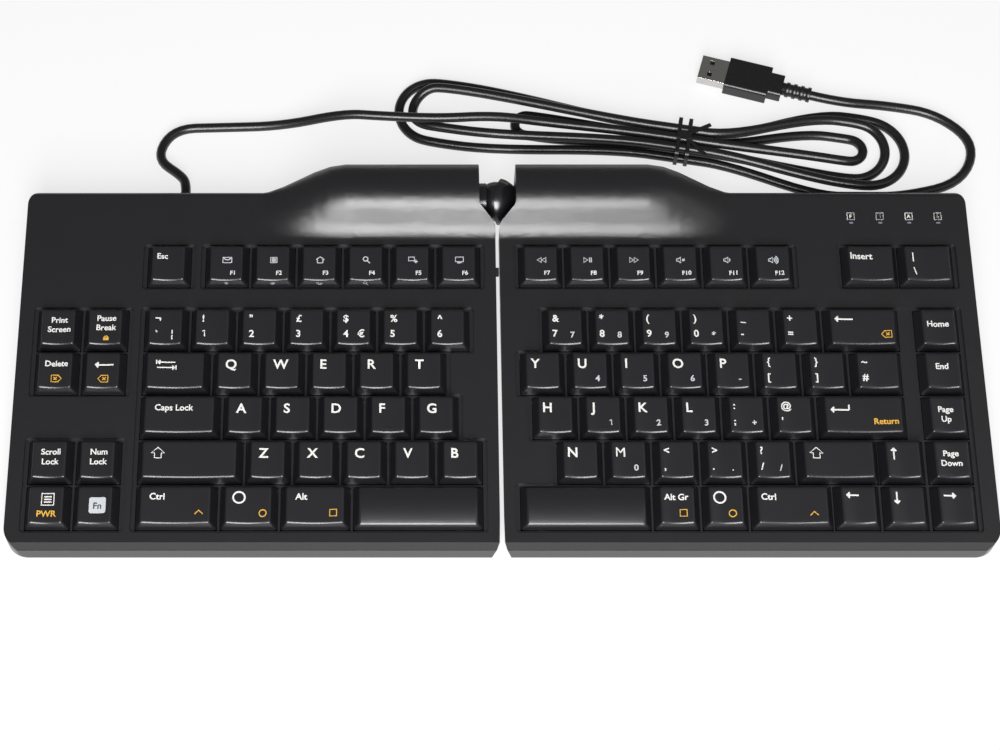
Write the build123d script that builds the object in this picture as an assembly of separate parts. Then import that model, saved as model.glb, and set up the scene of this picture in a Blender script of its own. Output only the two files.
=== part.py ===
from build123d import *
import math
import os

# Split keyboard: two wedge-shaped halves joined at the back by a ball joint, with a corded plug.
# Millimetres. +X to the right, +Y to the back, +Z up, Z = 0 under the rubber feet.
os.makedirs("parts", exist_ok=True)

# Whole keyboard
total_width = 391.0
total_depth = 167.0
deck_tilt = 4.0
seam_gap = 1.6
foot_height = 1.0
wall = 2.3
floor_thickness = 1.2
fit_clearance = 0.05
free_clearance = 0.3
cut_overrun = 40.0

# Side profile, with the front top edge of the home row as the reference line
home_from_front = 47.2
home_deck_height = 13.4
front_wall_height = 7.0
front_wall_lean = 0.8
front_band_depth = 1.9
back_edge_from_home = 109.6
back_edge_radius = 3.0
front_corner_radius = 9.0
back_corner_radius = 6.5
seam_front_radius = 2.5

# Undercut of the seam walls, which lets the halves tent
undercut_top = 11.0
undercut_angle = 17.0

# Parting line between the cover and the base
parting_height = 6.6
parting_gap = 0.4

# Hump along the back edge
hump_inner = 7.6
hump_full = 63.0
hump_end = 102.0
hump_crest_rise = 11.6
hump_foot = 84.0
hump_crest = 106.0
hump_sink = 0.35
hump_shoulder_share = 0.62
hump_stations = 6
notch_shoulder_start = 92.0
notch_shoulder_end = 98.0
notch_radius = 3.0
inner_radius = 0.6
hump_corner_radius = 3.0

# Key field
pitch = 19.05
row_offset = {"F": 66.6, "D": 38.1, "Q": 19.05, "A": 0.0, "Z": -19.05, "C": -38.1}
cap_gap = 1.45
cap_depth = 17.8
cap_top_margin = 6.2
cap_top_depth = 15.0
cap_front_slope = 1.2
cap_rise = 4.6
cap_skirt_drop = 0.9
cap_wall = 1.2
dish_depth = 0.85
space_rise = 4.0
space_units = 2.5
window_side = 0.27
recess_depth = 1.2
recess_floor = 1.5
recess_margin = 1.3
recess_radius = 1.6
filler_left = 150.0
seat_depth = 4.0
seat_border = 2.4
seat_front = -38.2
key_travel = 2.8
plate_thickness = 1.0
stem_side = 5.0
stem_clearance = 0.1
guide_side = 3.0
guide_share_limit = 1.6
sheet_gap = 0.3
dome_sheet_thickness = 0.25
membrane_thickness = 0.25
dome_width = 3.4
dome_height = 0.9
dome_sides = 6
dome_taper = 20
stem_cup_depth = 1.4
stem_cup_width = 4.0

# Ball joint at the back
ball_from_home = 109.3
ball_height = 12.0
ball_radius = 8.4
neck_radius = 5.4
collar_radius = 7.8
flange_radius = 7.0
liner_thickness = 0.5
cup_thickness = 1.0
cup_lip_offset = 1.7
cup_lip_tilt = 17.0
bore_radius = 1.7
cable_radius = 1.4
stub_radius = 6.2
stub_bore = 4.6

# Lock lever in the back of the right hump
lever_start = 24.0
lever_length = 18.0
lever_height = 7.4
lever_thickness = 3.0
lever_level = 13.0
lever_pin_radius = 1.2
hub_radius = 2.3

# Feet, screws and boards
foot_radius = 5.0
foot_pocket = 0.4
boss_radius = 3.6
screw_radius = 1.1
screw_head_radius = 2.2
screw_head_height = 1.3
screw_length = 6.5
board_thickness = 1.6
controller_start = 44.0
controller_from_home = 87.0
controller_length = 44.0
controller_depth = 16.0
chip_side = 8.0

# Cord and plug
cord_radius = 2.1
relief_x = -131.5
relief_height = 7.6
relief_radius = 3.6
relief_flange = 5.2
relief_length = 12.0
relief_rings = 3
relief_ring_start = 1.0
relief_ring_step = 1.8
relief_ring_width = 0.9
relief_ring_rise = 0.5
lead_straight = 6.0
tail_rise = 0.4
tail_run = 13.0
bend_share = 0.45
hank_centre = (81.6, 107.2)
hank_turn = -9.6
strand_step = 4.8
layer_step = 4.8
plug_width = 15.7
plug_height = 7.6
shell_width = 12.0
shell_height = 4.5
shell_length = 12.0
shell_wall = 0.35

half_width = total_width / 2
half_gap = seam_gap / 2
home_y = home_from_front - total_depth / 2
deck_slope = math.tan(math.radians(deck_tilt))
deck = Location((0, home_y, home_deck_height), (deck_tilt, 0, 0))


def deck_height(distance):
    """Height of the deck at a distance behind the home line."""
    return home_deck_height + distance * deck_slope


def placed_box(x0, x1, y0, y1, z0, z1):
    """Box between two corners."""
    box = Box(x1 - x0, y1 - y0, z1 - z0)
    return Pos((x0 + x1) / 2, (y0 + y1) / 2, (z0 + z1) / 2) * box


def deck_box(x0, x1, v0, v1, n0, n1):
    """Box in the frame of the deck: v runs up the deck and n stands square to it."""
    return deck * placed_box(x0, x1, v0, v1, n0, n1)


def mirrored(shape):
    return mirror(shape, about=Plane.YZ)


def rod(centre, axis, radius, length):
    """Cylinder that starts at a centre and runs along an axis."""
    plane = Plane(origin=centre, z_dir=axis)
    return extrude(plane * Circle(radius), amount=length)


# Outer form of the right half; the left half is its mirror image
def side_profile(inset):
    """Closed side view of the wedge, drawn in YZ."""
    front = -home_from_front + inset
    back = back_edge_from_home - inset
    bottom = foot_height + (floor_thickness if inset else 0)
    band_front = front + front_wall_lean
    deck_front = band_front + front_band_depth
    points = [
        (home_y + front, bottom),
        (home_y + band_front, front_wall_height - inset),
        (home_y + deck_front, deck_height(deck_front) - inset),
    ]
    if inset:
        points.append((home_y + seat_front, deck_height(seat_front) - inset))
        points.append((home_y + seat_front, deck_height(seat_front) - seat_depth))
    drop = seat_depth if inset else 0
    points.append((home_y + back, deck_height(back) - drop))
    points.append((home_y + back, bottom))
    sketch = Polygon(*points, align=None)
    if inset == 0:
        corner = max(sketch.vertices(), key=lambda v: v.Y + v.X)
        sketch = fillet(corner, back_edge_radius)
    return Plane.YZ * sketch


def plan_outline(inset):
    """Plan of the right half with its notch for the ball."""
    inner = half_gap + inset
    outer = half_width - inset
    front = home_y - home_from_front + inset
    back = home_y + back_edge_from_home - inset
    hump_back = total_depth / 2 - inset
    notch = hump_inner + inset
    shoulder_low = home_y + notch_shoulder_start - inset
    shoulder_high = home_y + notch_shoulder_end - inset
    low_end = (hump_end, back)
    high_end = (hump_full, hump_back)
    bend = Spline(low_end, high_end, tangents=((-1, 0), (-1, 0)))
    lines = [
        Line((inner, front), (outer, front)),
        Line((outer, front), (outer, back)),
        Line((outer, back), low_end),
        bend,
        Line(high_end, (notch, hump_back)),
        Line((notch, hump_back), (notch, shoulder_high)),
        Line((notch, shoulder_high), (inner, shoulder_low)),
        Line((inner, shoulder_low), (inner, front)),
    ]
    sketch = make_face(lines)
    radii = [
        ((outer, front), front_corner_radius - inset),
        ((outer, back), back_corner_radius - inset),
        ((inner, front), max(seam_front_radius - inset, inner_radius)),
        ((notch, hump_back), max(hump_corner_radius - inset, inner_radius)),
        ((notch, shoulder_high), notch_radius),
        ((inner, shoulder_low), notch_radius),
    ]
    for place, radius in radii:
        corner = sketch.vertices().sort_by_distance((place[0], place[1], 0))[0]
        sketch = fillet(corner, radius)
    return sketch


def hump_share(x):
    """Share of the full hump at a distance from the seam, from 1 to 0."""
    t = (x - hump_full) / (hump_end - hump_full)
    t = min(1, max(0, t))
    return 1 - t * t * (3 - 2 * t)


def hump_section(x, inset):
    """Side view of the hump at one distance from the seam."""
    share = hump_share(x)
    drop = seat_depth if inset else 0
    low = foot_height + floor_thickness + inset
    foot = hump_foot + inset
    crest = hump_crest
    extra = total_depth / 2 - home_y - back_edge_from_home
    back = back_edge_from_home + extra * share - free_clearance * (1 - share) - inset
    rise = (hump_crest_rise + hump_sink) * share - hump_sink
    foot_z = deck_height(foot) - hump_sink - drop
    crest_z = deck_height(crest) + rise - max(inset, drop * (1 - share))
    shoulder_z = crest_z - (crest_z - home_deck_height) * hump_shoulder_share
    top = Spline(
        (x, home_y + foot, foot_z),
        (x, home_y + crest, crest_z),
        tangents=((0, 1, 2 * deck_slope), (0, 1, 0)),
    )
    roll = Spline(
        (x, home_y + crest, crest_z),
        (x, home_y + back, shoulder_z),
        tangents=((0, 1, 0), (0, 0, -1)),
    )
    lines = [
        top,
        roll,
        Line((x, home_y + back, shoulder_z), (x, home_y + back, low)),
        Line((x, home_y + back, low), (x, home_y + foot, low)),
        Line((x, home_y + foot, low), (x, home_y + foot, foot_z)),
    ]
    return make_face(lines)


def hump_solid(inset):
    start = half_gap + inset
    steps = [start, hump_full]
    for i in range(1, hump_stations + 1):
        steps.append(hump_full + (hump_end - hump_full) * i / hump_stations)
    return loft([hump_section(x, inset) for x in steps], ruled=True)


def undercut_wedge(inset):
    """Wedge that slants the seam wall under the joint's height."""
    edge = half_gap + inset
    depth = undercut_top - foot_height
    reach = depth * math.tan(math.radians(undercut_angle))
    points = [
        (edge - seam_gap, undercut_top),
        (edge, undercut_top),
        (edge + reach, foot_height),
        (edge + reach, 0),
        (edge - seam_gap, 0),
    ]
    sketch = Plane.XZ * Polygon(*points, align=None)
    return extrude(sketch, amount=total_depth, both=True)


def half_solid(inset):
    """Solid right half, drawn in by an inset for its hollow."""
    wedge = extrude(side_profile(inset), amount=half_width - inset, dir=(1, 0, 0))
    body = wedge + hump_solid(inset)
    plan = extrude(plan_outline(inset), amount=cut_overrun)
    return (body & plan) - undercut_wedge(inset)


# Keys: block name, row, left edge, widths in key units
left_grid = -144.8
nav_left_centre = -178.7
nav_right_centre = 178.1
nav_left = nav_left_centre - pitch / 2
right_nav = nav_right_centre - pitch / 2
f7_left = 7.9
insert_left = 141.0
slash_left = 164.3
seven_left = 17.2
y_left = 7.67
h_left = 12.3
n_left = 21.7
space_left = 6.8
right_alt_left = 59.2
arrows_left = 130.3
up_arrow_left = 149.4
left_keys = {
    "key_esc": [("F", left_grid, [1.0])],
    "keys_f1_f6": [("F", left_grid + 1.25 * pitch, [1.0] * 6)],
    "keys_nav_upper": [("D", nav_left, [1.0, 1.0]), ("Q", nav_left, [1.0, 1.0])],
    "keys_nav_lower": [("Z", nav_left, [1.0, 1.0]), ("C", nav_left, [1.0, 1.0])],
    "keys_left_numbers": [("D", left_grid, [1.0] * 7)],
    "keys_left_q_row": [("Q", left_grid, [1.5] + [1.0] * 5)],
    "keys_left_a_row": [("A", left_grid, [1.75] + [1.0] * 5)],
    "key_left_shift": [("Z", left_grid, [2.25])],
    "keys_left_z_row": [("Z", left_grid + 2.25 * pitch, [1.0] * 5)],
    "keys_left_modifiers": [("C", left_grid, [1.75, 1.25, 1.5])],
    "key_left_space": [("C", left_grid + 4.5 * pitch, [2.75])],
}
right_keys = {
    "keys_f7_f12": [("F", f7_left, [1.0] * 6)],
    "keys_insert_slash": [("F", insert_left, [1.25]), ("F", slash_left, [1.25])],
    "keys_right_numbers": [("D", seven_left, [1.0] * 6)],
    "key_backspace": [("D", seven_left + 6 * pitch, [1.67])],
    "keys_right_y_row": [("Q", y_left, [1.0] * 7)],
    "key_hash": [("Q", y_left + 7 * pitch, [1.15])],
    "keys_right_h_row": [("A", h_left, [1.0] * 6)],
    "key_return": [("A", h_left + 6 * pitch, [1.91])],
    "keys_right_n_row": [("Z", n_left, [1.0] * 5)],
    "key_right_shift": [("Z", n_left + 5 * pitch, [1.74])],
    "key_right_space": [("C", space_left, [2.75])],
    "keys_right_modifiers": [("C", right_alt_left, [1.0, 1.0, 1.75])],
    "keys_arrows": [("C", arrows_left, [1.0, 1.0]), ("Z", up_arrow_left, [1.0])],
    "keys_nav_column": [(row, right_nav, [1.0]) for row in "DQAZC"],
}


def spread(rows):
    """Each key of a block as its row, centre and width."""
    keys = []
    for row, left, units in rows:
        edge = left
        for unit in units:
            width = unit * pitch
            keys.append((row, edge + width / 2, width))
            edge += width
    return keys


def cap_centre(row):
    """Middle of a key across its row, behind the home line."""
    return row_offset[row] - cap_front_slope + cap_depth / 2


def rectangle_at(width, v0, v1, n, grow):
    """Rectangle across a key at a height above the deck."""
    x = width / 2 + grow
    points = [(-x, v0 - grow), (x, v0 - grow), (x, v1 + grow), (-x, v1 + grow)]
    return Pos(0, 0, n) * Polygon(*points, align=None)


def cap_shell(width, rise, grow):
    """Tapered block of a cap from its skirt to above its top."""
    skirt = width - cap_gap
    top = width - cap_top_margin
    front = -cap_front_slope
    low = rectangle_at(skirt, front, front + cap_depth, -cap_skirt_drop, grow)
    high = rectangle_at(top, 0, cap_top_depth, rise, grow)
    return loft([low, high], ruled=True)


def stem(side, low, cup):
    """Square post under a cap, hollow at its foot where it presses a dome."""
    half = side / 2
    post = placed_box(-half, half, -half, half, low, 0)
    if cup:
        bore = stem_cup_width / 2
        post -= placed_box(-bore, bore, -bore, bore, low - fit_clearance, low + stem_cup_depth)
    return post


def make_cap(width, is_space):
    """Hollow cap with its dished top and its stem, standing on its front top edge."""
    rise = space_rise if is_space else cap_rise
    outer = cap_shell(width, rise, 0)
    roof = rise - cap_wall - dish_depth
    below_roof = placed_box(-width, width, -pitch, pitch, -pitch, roof)
    cap = outer - (cap_shell(width, rise, -cap_wall) & below_roof)
    top_width = width - cap_top_margin
    if not is_space:
        dish_radius = (top_width * top_width / 4 + dish_depth * dish_depth) / (2 * dish_depth)
        dish_centre = (0, -pitch, rise + dish_radius - dish_depth)
        cap -= rod(dish_centre, (0, 1, 0), dish_radius, 3 * pitch)
    middle = cap_depth / 2 - cap_front_slope
    low = -seat_depth - plate_thickness
    cap += Pos(0, middle, roof + fit_clearance) * stem(stem_side, low - roof, True)
    if width > guide_share_limit * pitch:
        shift = width / 2 - pitch / 2
        for side in (-shift, shift):
            cap += Pos(side, middle, roof + fit_clearance) * stem(guide_side, low - roof, False)
    return cap


cap_store = {}


def cap_at(row, centre, width):
    is_space = width > space_units * pitch
    name = (round(width, 3), is_space)
    if name not in cap_store:
        cap_store[name] = make_cap(width, is_space)
    return deck * Pos(centre, row_offset[row], 0) * cap_store[name]


def field_cut(keys):
    """Windows for the keys of one half."""
    cuts = []
    for row, centre, width in keys:
        x = (width - cap_gap) / 2 + window_side
        front = row_offset[row] - cap_front_slope - window_side
        back = front + cap_depth + 2 * window_side
        cuts.append(deck_box(centre - x, centre + x, front, back, -seat_depth - wall, wall))
    return cuts


def recess_box(x0, x1, v0, v1):
    """Shallow pocket with rounded corners sunk in the deck."""
    pocket = Rectangle(x1 - x0, v1 - v0)
    pocket = fillet(pocket.vertices(), recess_radius)
    pocket = Pos((x0 + x1) / 2, (v0 + v1) / 2, -recess_depth) * pocket
    return deck * extrude(pocket, amount=recess_depth + wall)


def row_recess(row, left, units):
    """Pocket round the keys of one row."""
    x0 = left - recess_margin
    x1 = left + sum(units) * pitch + recess_margin
    v0 = row_offset[row] - cap_front_slope - recess_margin
    v1 = row_offset[row] - cap_front_slope + cap_depth + recess_margin
    return recess_box(x0, x1, v0, v1)


def filler_recess():
    """Pocket that joins the right key field to the navigation column."""
    v0 = row_offset["C"] - cap_front_slope - recess_margin
    v1 = row_offset["D"] - cap_front_slope + cap_depth + recess_margin
    return recess_box(filler_left, right_nav + pitch + recess_margin, v0, v1)


# Ball joint
ball_centre = (0, home_y + ball_from_home, ball_height)


def ball_sphere(radius):
    return Location(ball_centre, (0, 90, 0)) * Sphere(radius)


def centre_rod(x0, x1, radius):
    """Cylinder on the ball's X axis."""
    return rod((x0, ball_centre[1], ball_centre[2]), (1, 0, 0), radius, x1 - x0)


def make_ball_stud():
    """Ball with its hollow neck and the flange behind the wall."""
    flange_start = -hump_inner - wall
    stud = ball_sphere(ball_radius) + centre_rod(flange_start - wall, 0, neck_radius)
    stud += centre_rod(flange_start - wall, flange_start, flange_radius)
    return stud - centre_rod(-cut_overrun, cut_overrun, bore_radius)


def make_collar():
    """Smooth sleeve between the left hump and the ball."""
    ring = centre_rod(-hump_inner, 0, collar_radius)
    ring -= centre_rod(-cut_overrun, cut_overrun, neck_radius + fit_clearance)
    return ring - ball_sphere(ball_radius + fit_clearance)


def lip_block(offset):
    """Half space behind the slanted lip of the socket."""
    tilt = math.radians(cup_lip_tilt)
    side = math.sin(tilt) * math.sqrt(0.5)
    normal = (math.cos(tilt), -side, side)
    origin = tuple(c + n * offset for c, n in zip(ball_centre, normal))
    plane = Plane(origin=origin, z_dir=normal)
    return extrude(plane * Circle(2 * ball_radius), amount=3 * ball_radius)


def make_liner():
    """Thin friction shell between the ball and the cup."""
    shell = ball_sphere(ball_radius + fit_clearance + liner_thickness)
    shell = shell & lip_block(cup_lip_offset + free_clearance)
    shell -= ball_sphere(ball_radius + fit_clearance)
    return shell - centre_rod(0, cut_overrun, stub_bore)


def make_cup():
    """Socket cup with its slanted lip and the stub that passes through the right wall."""
    inner = ball_radius + liner_thickness + 2 * fit_clearance
    cup = ball_sphere(inner + cup_thickness)
    cup = cup & lip_block(cup_lip_offset)
    cup += centre_rod(hump_inner, hump_inner + 2 * wall, stub_radius)
    cup -= ball_sphere(inner)
    behind = placed_box(hump_inner, cut_overrun, -total_depth, total_depth, 0, cut_overrun)
    cup -= behind - centre_rod(0, cut_overrun, stub_radius)
    cup -= centre_rod(0, hump_inner + wall, stub_bore)
    return cup - centre_rod(0, cut_overrun, bore_radius)


# Lock lever
lever_face = total_depth / 2 - free_clearance
lever_axis_y = lever_face - hub_radius
pocket_margin = 0.6


def lever_pocket():
    x0 = lever_start - hub_radius - pocket_margin
    x1 = lever_start + lever_length + 2 * hub_radius
    low = lever_level - lever_height / 2 - pocket_margin
    high = lever_level + lever_height / 2 + pocket_margin
    return placed_box(x0, x1, lever_axis_y - hub_radius - pocket_margin, total_depth, low, high)


def lever_housing():
    x0 = lever_start - hub_radius - pocket_margin - wall
    x1 = lever_start + lever_length + 2 * hub_radius + wall
    low = parting_height + parting_gap
    high = lever_level + lever_height / 2 + pocket_margin + wall
    front = lever_axis_y - hub_radius - pocket_margin - wall
    return placed_box(x0, x1, front, total_depth / 2 - wall / 2, low, high)


def make_lever():
    low = lever_level - lever_height / 2
    hub = rod((lever_start, lever_axis_y, low), (0, 0, 1), hub_radius, lever_height)
    paddle_front = lever_face - lever_thickness
    tip = lever_start + lever_length
    paddle = placed_box(lever_start, tip, paddle_front, lever_face, low, low + lever_height)
    grip_radius = lever_thickness / 2
    grip = rod((tip, lever_face - grip_radius, low), (0, 0, 1), grip_radius, lever_height)
    return hub + paddle + grip - pin_rod(fit_clearance)


def pin_rod(grow):
    low = lever_level - lever_height / 2 - pocket_margin - floor_thickness
    length = lever_height + 2 * (pocket_margin + floor_thickness)
    return rod((lever_start, lever_axis_y, low), (0, 0, 1), lever_pin_radius + grow, length)


# Screws, feet and supports
screw_places = [(16.0, -40.4), (100.0, -40.4), (166.0, -40.4), (24.0, 92.0), (118.0, 97.0), (189.0, 89.5)]
foot_places = [(26.0, -36.0), (182.0, -36.0), (36.0, 100.0), (178.0, 100.0)]
rib_places = [30.0, 68.0, 106.0, 144.0, 176.0]
boss_joint = 4.6
sheet_front = -34.5
sheet_back = 82.0
sheet_inner = 10.0
sheet_outer = 189.0
dome_level = -(seat_depth + plate_thickness + key_travel + sheet_gap)


def screw_hole(x, distance, radius, z0, z1):
    return rod((x, home_y + distance, z0), (0, 0, 1), radius, z1 - z0)


def make_screws():
    screws = []
    for x, distance in screw_places:
        head = screw_hole(x, distance, screw_head_radius, foot_height, foot_height + screw_head_height)
        shank_end = foot_height + screw_length
        screws.append(head + screw_hole(x, distance, screw_radius, foot_height, shank_end))
    return screws


def support_rib(x):
    """Wedge-shaped rib that carries the membrane."""
    under = dome_level - dome_sheet_thickness - membrane_thickness
    lift = under / math.cos(math.radians(deck_tilt))
    low = foot_height + floor_thickness / 2
    points = [
        (home_y + sheet_front + wall, low),
        (home_y + sheet_front + wall, deck_height(sheet_front + wall) + lift),
        (home_y + sheet_back, deck_height(sheet_back) + lift),
        (home_y + sheet_back, low),
    ]
    sketch = Plane.YZ * Polygon(*points, align=None)
    return Pos(x - floor_thickness / 2, 0, 0) * extrude(sketch, amount=floor_thickness)


def make_base(outer, hollow):
    """Tray of the right half with its bosses and ribs."""
    tray = outer & placed_box(0, half_width, -total_depth, total_depth, foot_height, parting_height)
    tray -= hollow
    for x, distance in screw_places:
        tray += screw_hole(x, distance, boss_radius, foot_height + floor_thickness / 2, boss_joint)
    for x in rib_places:
        tray += support_rib(x)
    for x, distance in screw_places:
        head_end = foot_height + screw_head_height + fit_clearance
        tray -= screw_hole(x, distance, screw_head_radius + fit_clearance, 0, head_end)
        tray -= screw_hole(x, distance, screw_radius + fit_clearance, 0, boss_joint + wall)
    for x, distance in foot_places:
        tray -= screw_hole(x, distance, foot_radius + fit_clearance, 0, foot_height + foot_pocket)
    return tray


def make_cover(outer, hollow, keys, pockets):
    """Cover of the right half with its windows, pockets and bosses."""
    low = parting_height + parting_gap
    shell = outer & placed_box(0, half_width, -total_depth, total_depth, low, cut_overrun)
    shell -= hollow
    for x, distance in screw_places:
        boss = screw_hole(x, distance, boss_radius - floor_thickness / 2, boss_joint, cut_overrun)
        shell += boss & hollow
        hole_end = foot_height + screw_length + free_clearance
        shell -= screw_hole(x, distance, screw_radius + fit_clearance, 0, hole_end)
    x0 = sheet_inner + seat_border
    x1 = sheet_outer - seat_border
    v1 = sheet_back - seat_border
    shell -= deck_box(x0, x1, sheet_front, v1, -seat_depth - wall, -recess_depth - recess_floor)
    for pocket in pockets:
        shell -= pocket
    for window in field_cut(keys):
        shell -= window
    return shell


def make_plate(keys):
    """Switch plate that guides the stems."""
    x0 = sheet_inner - seat_border
    v0 = sheet_front - seat_border
    plate = deck_box(x0, sheet_outer, v0, sheet_back, -seat_depth - plate_thickness, -seat_depth)
    for row, centre, width in keys:
        v = cap_centre(row)
        half = stem_side / 2 + stem_clearance
        plate -= deck_box(centre - half, centre + half, v - half, v + half, -2 * seat_depth, 0)
        if width > guide_share_limit * pitch:
            shift = width / 2 - pitch / 2
            slim = guide_side / 2 + stem_clearance
            for side in (-shift, shift):
                c = centre + side
                plate -= deck_box(c - slim, c + slim, v - slim, v + slim, -2 * seat_depth, 0)
    return plate


def make_dome_sheet(keys):
    """Rubber sheet with a low dome under each stem."""
    n1 = dome_level
    sheet = deck_box(sheet_inner, sheet_outer, sheet_front, sheet_back, n1 - dome_sheet_thickness, n1)
    for row, centre, _ in keys:
        dome = extrude(RegularPolygon(dome_width / 2, dome_sides), amount=dome_height, taper=dome_taper)
        sheet += deck * Pos(centre, cap_centre(row), n1) * dome
    return sheet


def make_membrane():
    n1 = dome_level - dome_sheet_thickness
    return deck_box(sheet_inner, sheet_outer, sheet_front, sheet_back, n1 - membrane_thickness, n1)


def make_feet():
    return [screw_hole(x, d, foot_radius, 0, foot_height + foot_pocket) for x, d in foot_places]


# Indicator lights
light_places = [147.1, 159.2, 171.2, 183.3]
light_from_home = 94.6
light_width = 1.6
light_depth = 0.7
light_board_drop = 6.0


def light_block(x, grow, top):
    half = light_width / 2 + grow
    side = light_depth / 2 + grow
    v = light_from_home
    return deck_box(x - half, x + half, v - side, v + side, -light_board_drop, top)


def make_lights():
    return [light_block(x, 0, 0) for x in light_places]


def make_light_board():
    x0 = light_places[0] - light_width
    x1 = light_places[-1] + light_width / 2
    v = light_from_home
    return deck_box(x0, x1, v - wall, v + wall, -light_board_drop - board_thickness, -light_board_drop)


def make_controller():
    """Controller board with its chips, on two posts of the base."""
    low = foot_height + floor_thickness + 2 * free_clearance
    x0 = controller_start
    y0 = home_y + controller_from_home
    board = placed_box(x0, x0 + controller_length, y0, y0 + controller_depth, low, low + board_thickness)
    x0 += chip_side
    y0 += (controller_depth - chip_side) / 2
    return board + placed_box(x0, x0 + chip_side, y0, y0 + chip_side, low, low + 2 * board_thickness)


# Cord
def unit(vector):
    size = math.sqrt(sum(c * c for c in vector))
    return tuple(c / size for c in vector)


def hank_point(u, w, z):
    """Point of the hank from its own axes: u along it, w across it."""
    turn = math.radians(hank_turn)
    x = hank_centre[0] + u * math.cos(turn) - w * math.sin(turn)
    y = hank_centre[1] + u * math.sin(turn) + w * math.cos(turn)
    return (x, y, z)


def hank_direction(angle):
    turn = math.radians(hank_turn + angle)
    return (math.cos(turn), math.sin(turn), 0)


desk_level = cord_radius
upper_level = cord_radius + layer_step
tie_thickness = 0.6
tie_lift = tie_thickness + 0.1
right_reach = [70.0, 74.0, 77.0]
left_reach = [68.0, 108.0, 109.0]
right_middle = 8.0
left_middle = -1.0
inner_right_radius = 7.0
right_step = 5.5
inner_left_radius = 5.0
left_step = 5.0
enter_u = -131.0
enter_w = -5.0
enter_angle = 8.0
exit_u = 80.0
exit_w = -12.5
exit_angle = 9.6


def waist_stop(slot, heading):
    """Stop of one strand under the tie; odd slots lie below and even ones on top."""
    level = desk_level if slot % 2 else upper_level
    return hank_point(0, slot * strand_step / 2, level + tie_lift), hank_direction(heading)


def right_stops(turn):
    """Half turn at the right end, from the front strand to the rear one."""
    radius = inner_right_radius + turn * right_step
    reach = right_reach[turn]
    front, rear = (desk_level, upper_level) if turn % 2 else (upper_level, desk_level)
    return [
        (hank_point(reach, right_middle - radius, front), hank_direction(0)),
        (hank_point(reach + radius, right_middle, (front + rear) / 2), hank_direction(90)),
        (hank_point(reach, right_middle + radius, rear), hank_direction(180)),
    ]


def left_stops(turn):
    """Half turn at the left end; each passes under the lead at its tip."""
    radius = inner_left_radius + turn * left_step
    reach = -left_reach[turn]
    level = upper_level if turn % 2 else desk_level
    return [
        (hank_point(reach, left_middle + radius, level), hank_direction(180)),
        (hank_point(reach - radius, left_middle, desk_level), hank_direction(270)),
        (hank_point(reach, left_middle - radius, level), hank_direction(0)),
    ]


def hank_stops():
    """Stops of the hank's path: place and heading, in the order of the cord."""
    stops = [(hank_point(enter_u, enter_w, upper_level), hank_direction(enter_angle))]
    stops.append(waist_stop(0, 0))
    for turn in range(3):
        stops += right_stops(turn)
        stops.append(waist_stop(turn + 1, 180))
        stops += left_stops(turn)
        stops.append(waist_stop(-turn - 1, 0))
    stops.append((hank_point(exit_u, exit_w, desk_level), hank_direction(exit_angle)))
    return stops


def biarc(start, heading, end, end_heading):
    """Two tangent arcs from one stop to the next."""
    a = Vector(*start)
    b = Vector(*end)
    s = Vector(*heading)
    t = Vector(*end_heading)
    v = b - a
    together = s + t
    square = 2 * (1 - s.dot(t))
    half = 2 * v.dot(together)
    if square < 1e-9:
        reach = v.dot(v) / half
    else:
        reach = (math.sqrt(half * half + 4 * square * v.dot(v)) - half) / (2 * square)
    middle = (a + s * reach + b - t * reach) * 0.5
    if s.get_angle(v) < 0.01 and t.get_angle(v) < 0.01:
        return [Line(a, b)]
    first = TangentArc(a, middle, tangent=s)
    return [first, TangentArc(middle, b, tangent=first % 1)]


def hank_wire():
    stops = hank_stops()
    edges = []
    for (start, heading), (end, end_heading) in zip(stops, stops[1:]):
        edges += biarc(start, heading, end, end_heading)
    return edges


def least_gap(edges, radius):
    """Least gap of a tube to itself, measured on points along its path."""
    points = []
    run = 0
    for edge in edges:
        count = max(2, int(edge.length / cord_radius))
        for i in range(count):
            p = edge @ (i / count)
            points.append((run + edge.length * i / count, p.X, p.Y, p.Z))
        run += edge.length
    least = run
    where = None
    for i, a in enumerate(points):
        for b in points[i + 1:]:
            if b[0] - a[0] < 6 * radius:
                continue
            gap = math.dist(a[1:], b[1:])
            if gap < least:
                least = gap
                where = (a, b)
    return least - 2 * radius, run, where


def make_hank():
    edges = hank_wire()
    gap, length, where = least_gap(edges, cord_radius)
    path = Wire(edges)
    start = Plane(origin=path @ 0, z_dir=path % 0)
    tube = sweep(start * Circle(cord_radius), path=path)
    share = tube.volume / (math.pi * cord_radius ** 2 * length)
    print("hank length", round(length, 1), "gap", round(gap, 2), "volume share", round(share, 3))
    print("  nearest", [round(c, 1) for c in where[0]], [round(c, 1) for c in where[1]])
    return tube


def bend_radii(points):
    """Each radius is a share of the shorter run over the tangent of half the turn."""
    radii = []
    for a, b, c in zip(points, points[1:], points[2:]):
        run_in = unit([q - p for p, q in zip(a, b)])
        run_out = unit([q - p for p, q in zip(b, c)])
        turn = math.acos(sum(p * q for p, q in zip(run_in, run_out)))
        shorter = min(math.dist(a, b), math.dist(b, c))
        radii.append(bend_share * shorter / math.tan(turn / 2))
    return radii


def cord_tube(name, points):
    radii = bend_radii(points)
    path = FilletPolyline(*points, radius=radii)
    start = Plane(origin=path @ 0, z_dir=path % 0)
    tube = sweep(start * Circle(cord_radius), path=path)
    share = tube.volume / (math.pi * cord_radius ** 2 * path.length)
    print(name, "length", round(path.length, 1), "volume share", round(share, 3))
    print("  radii", [round(r) for r in radii])
    return tube


hank_start = hank_point(enter_u, enter_w, upper_level)
hank_start_run = hank_direction(enter_angle)
hank_end = hank_point(exit_u, exit_w, desk_level)
hank_end_run = hank_direction(exit_angle)
join_run = 16.0


def along(place, run, distance):
    return tuple(p + r * distance for p, r in zip(place, run))


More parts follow.
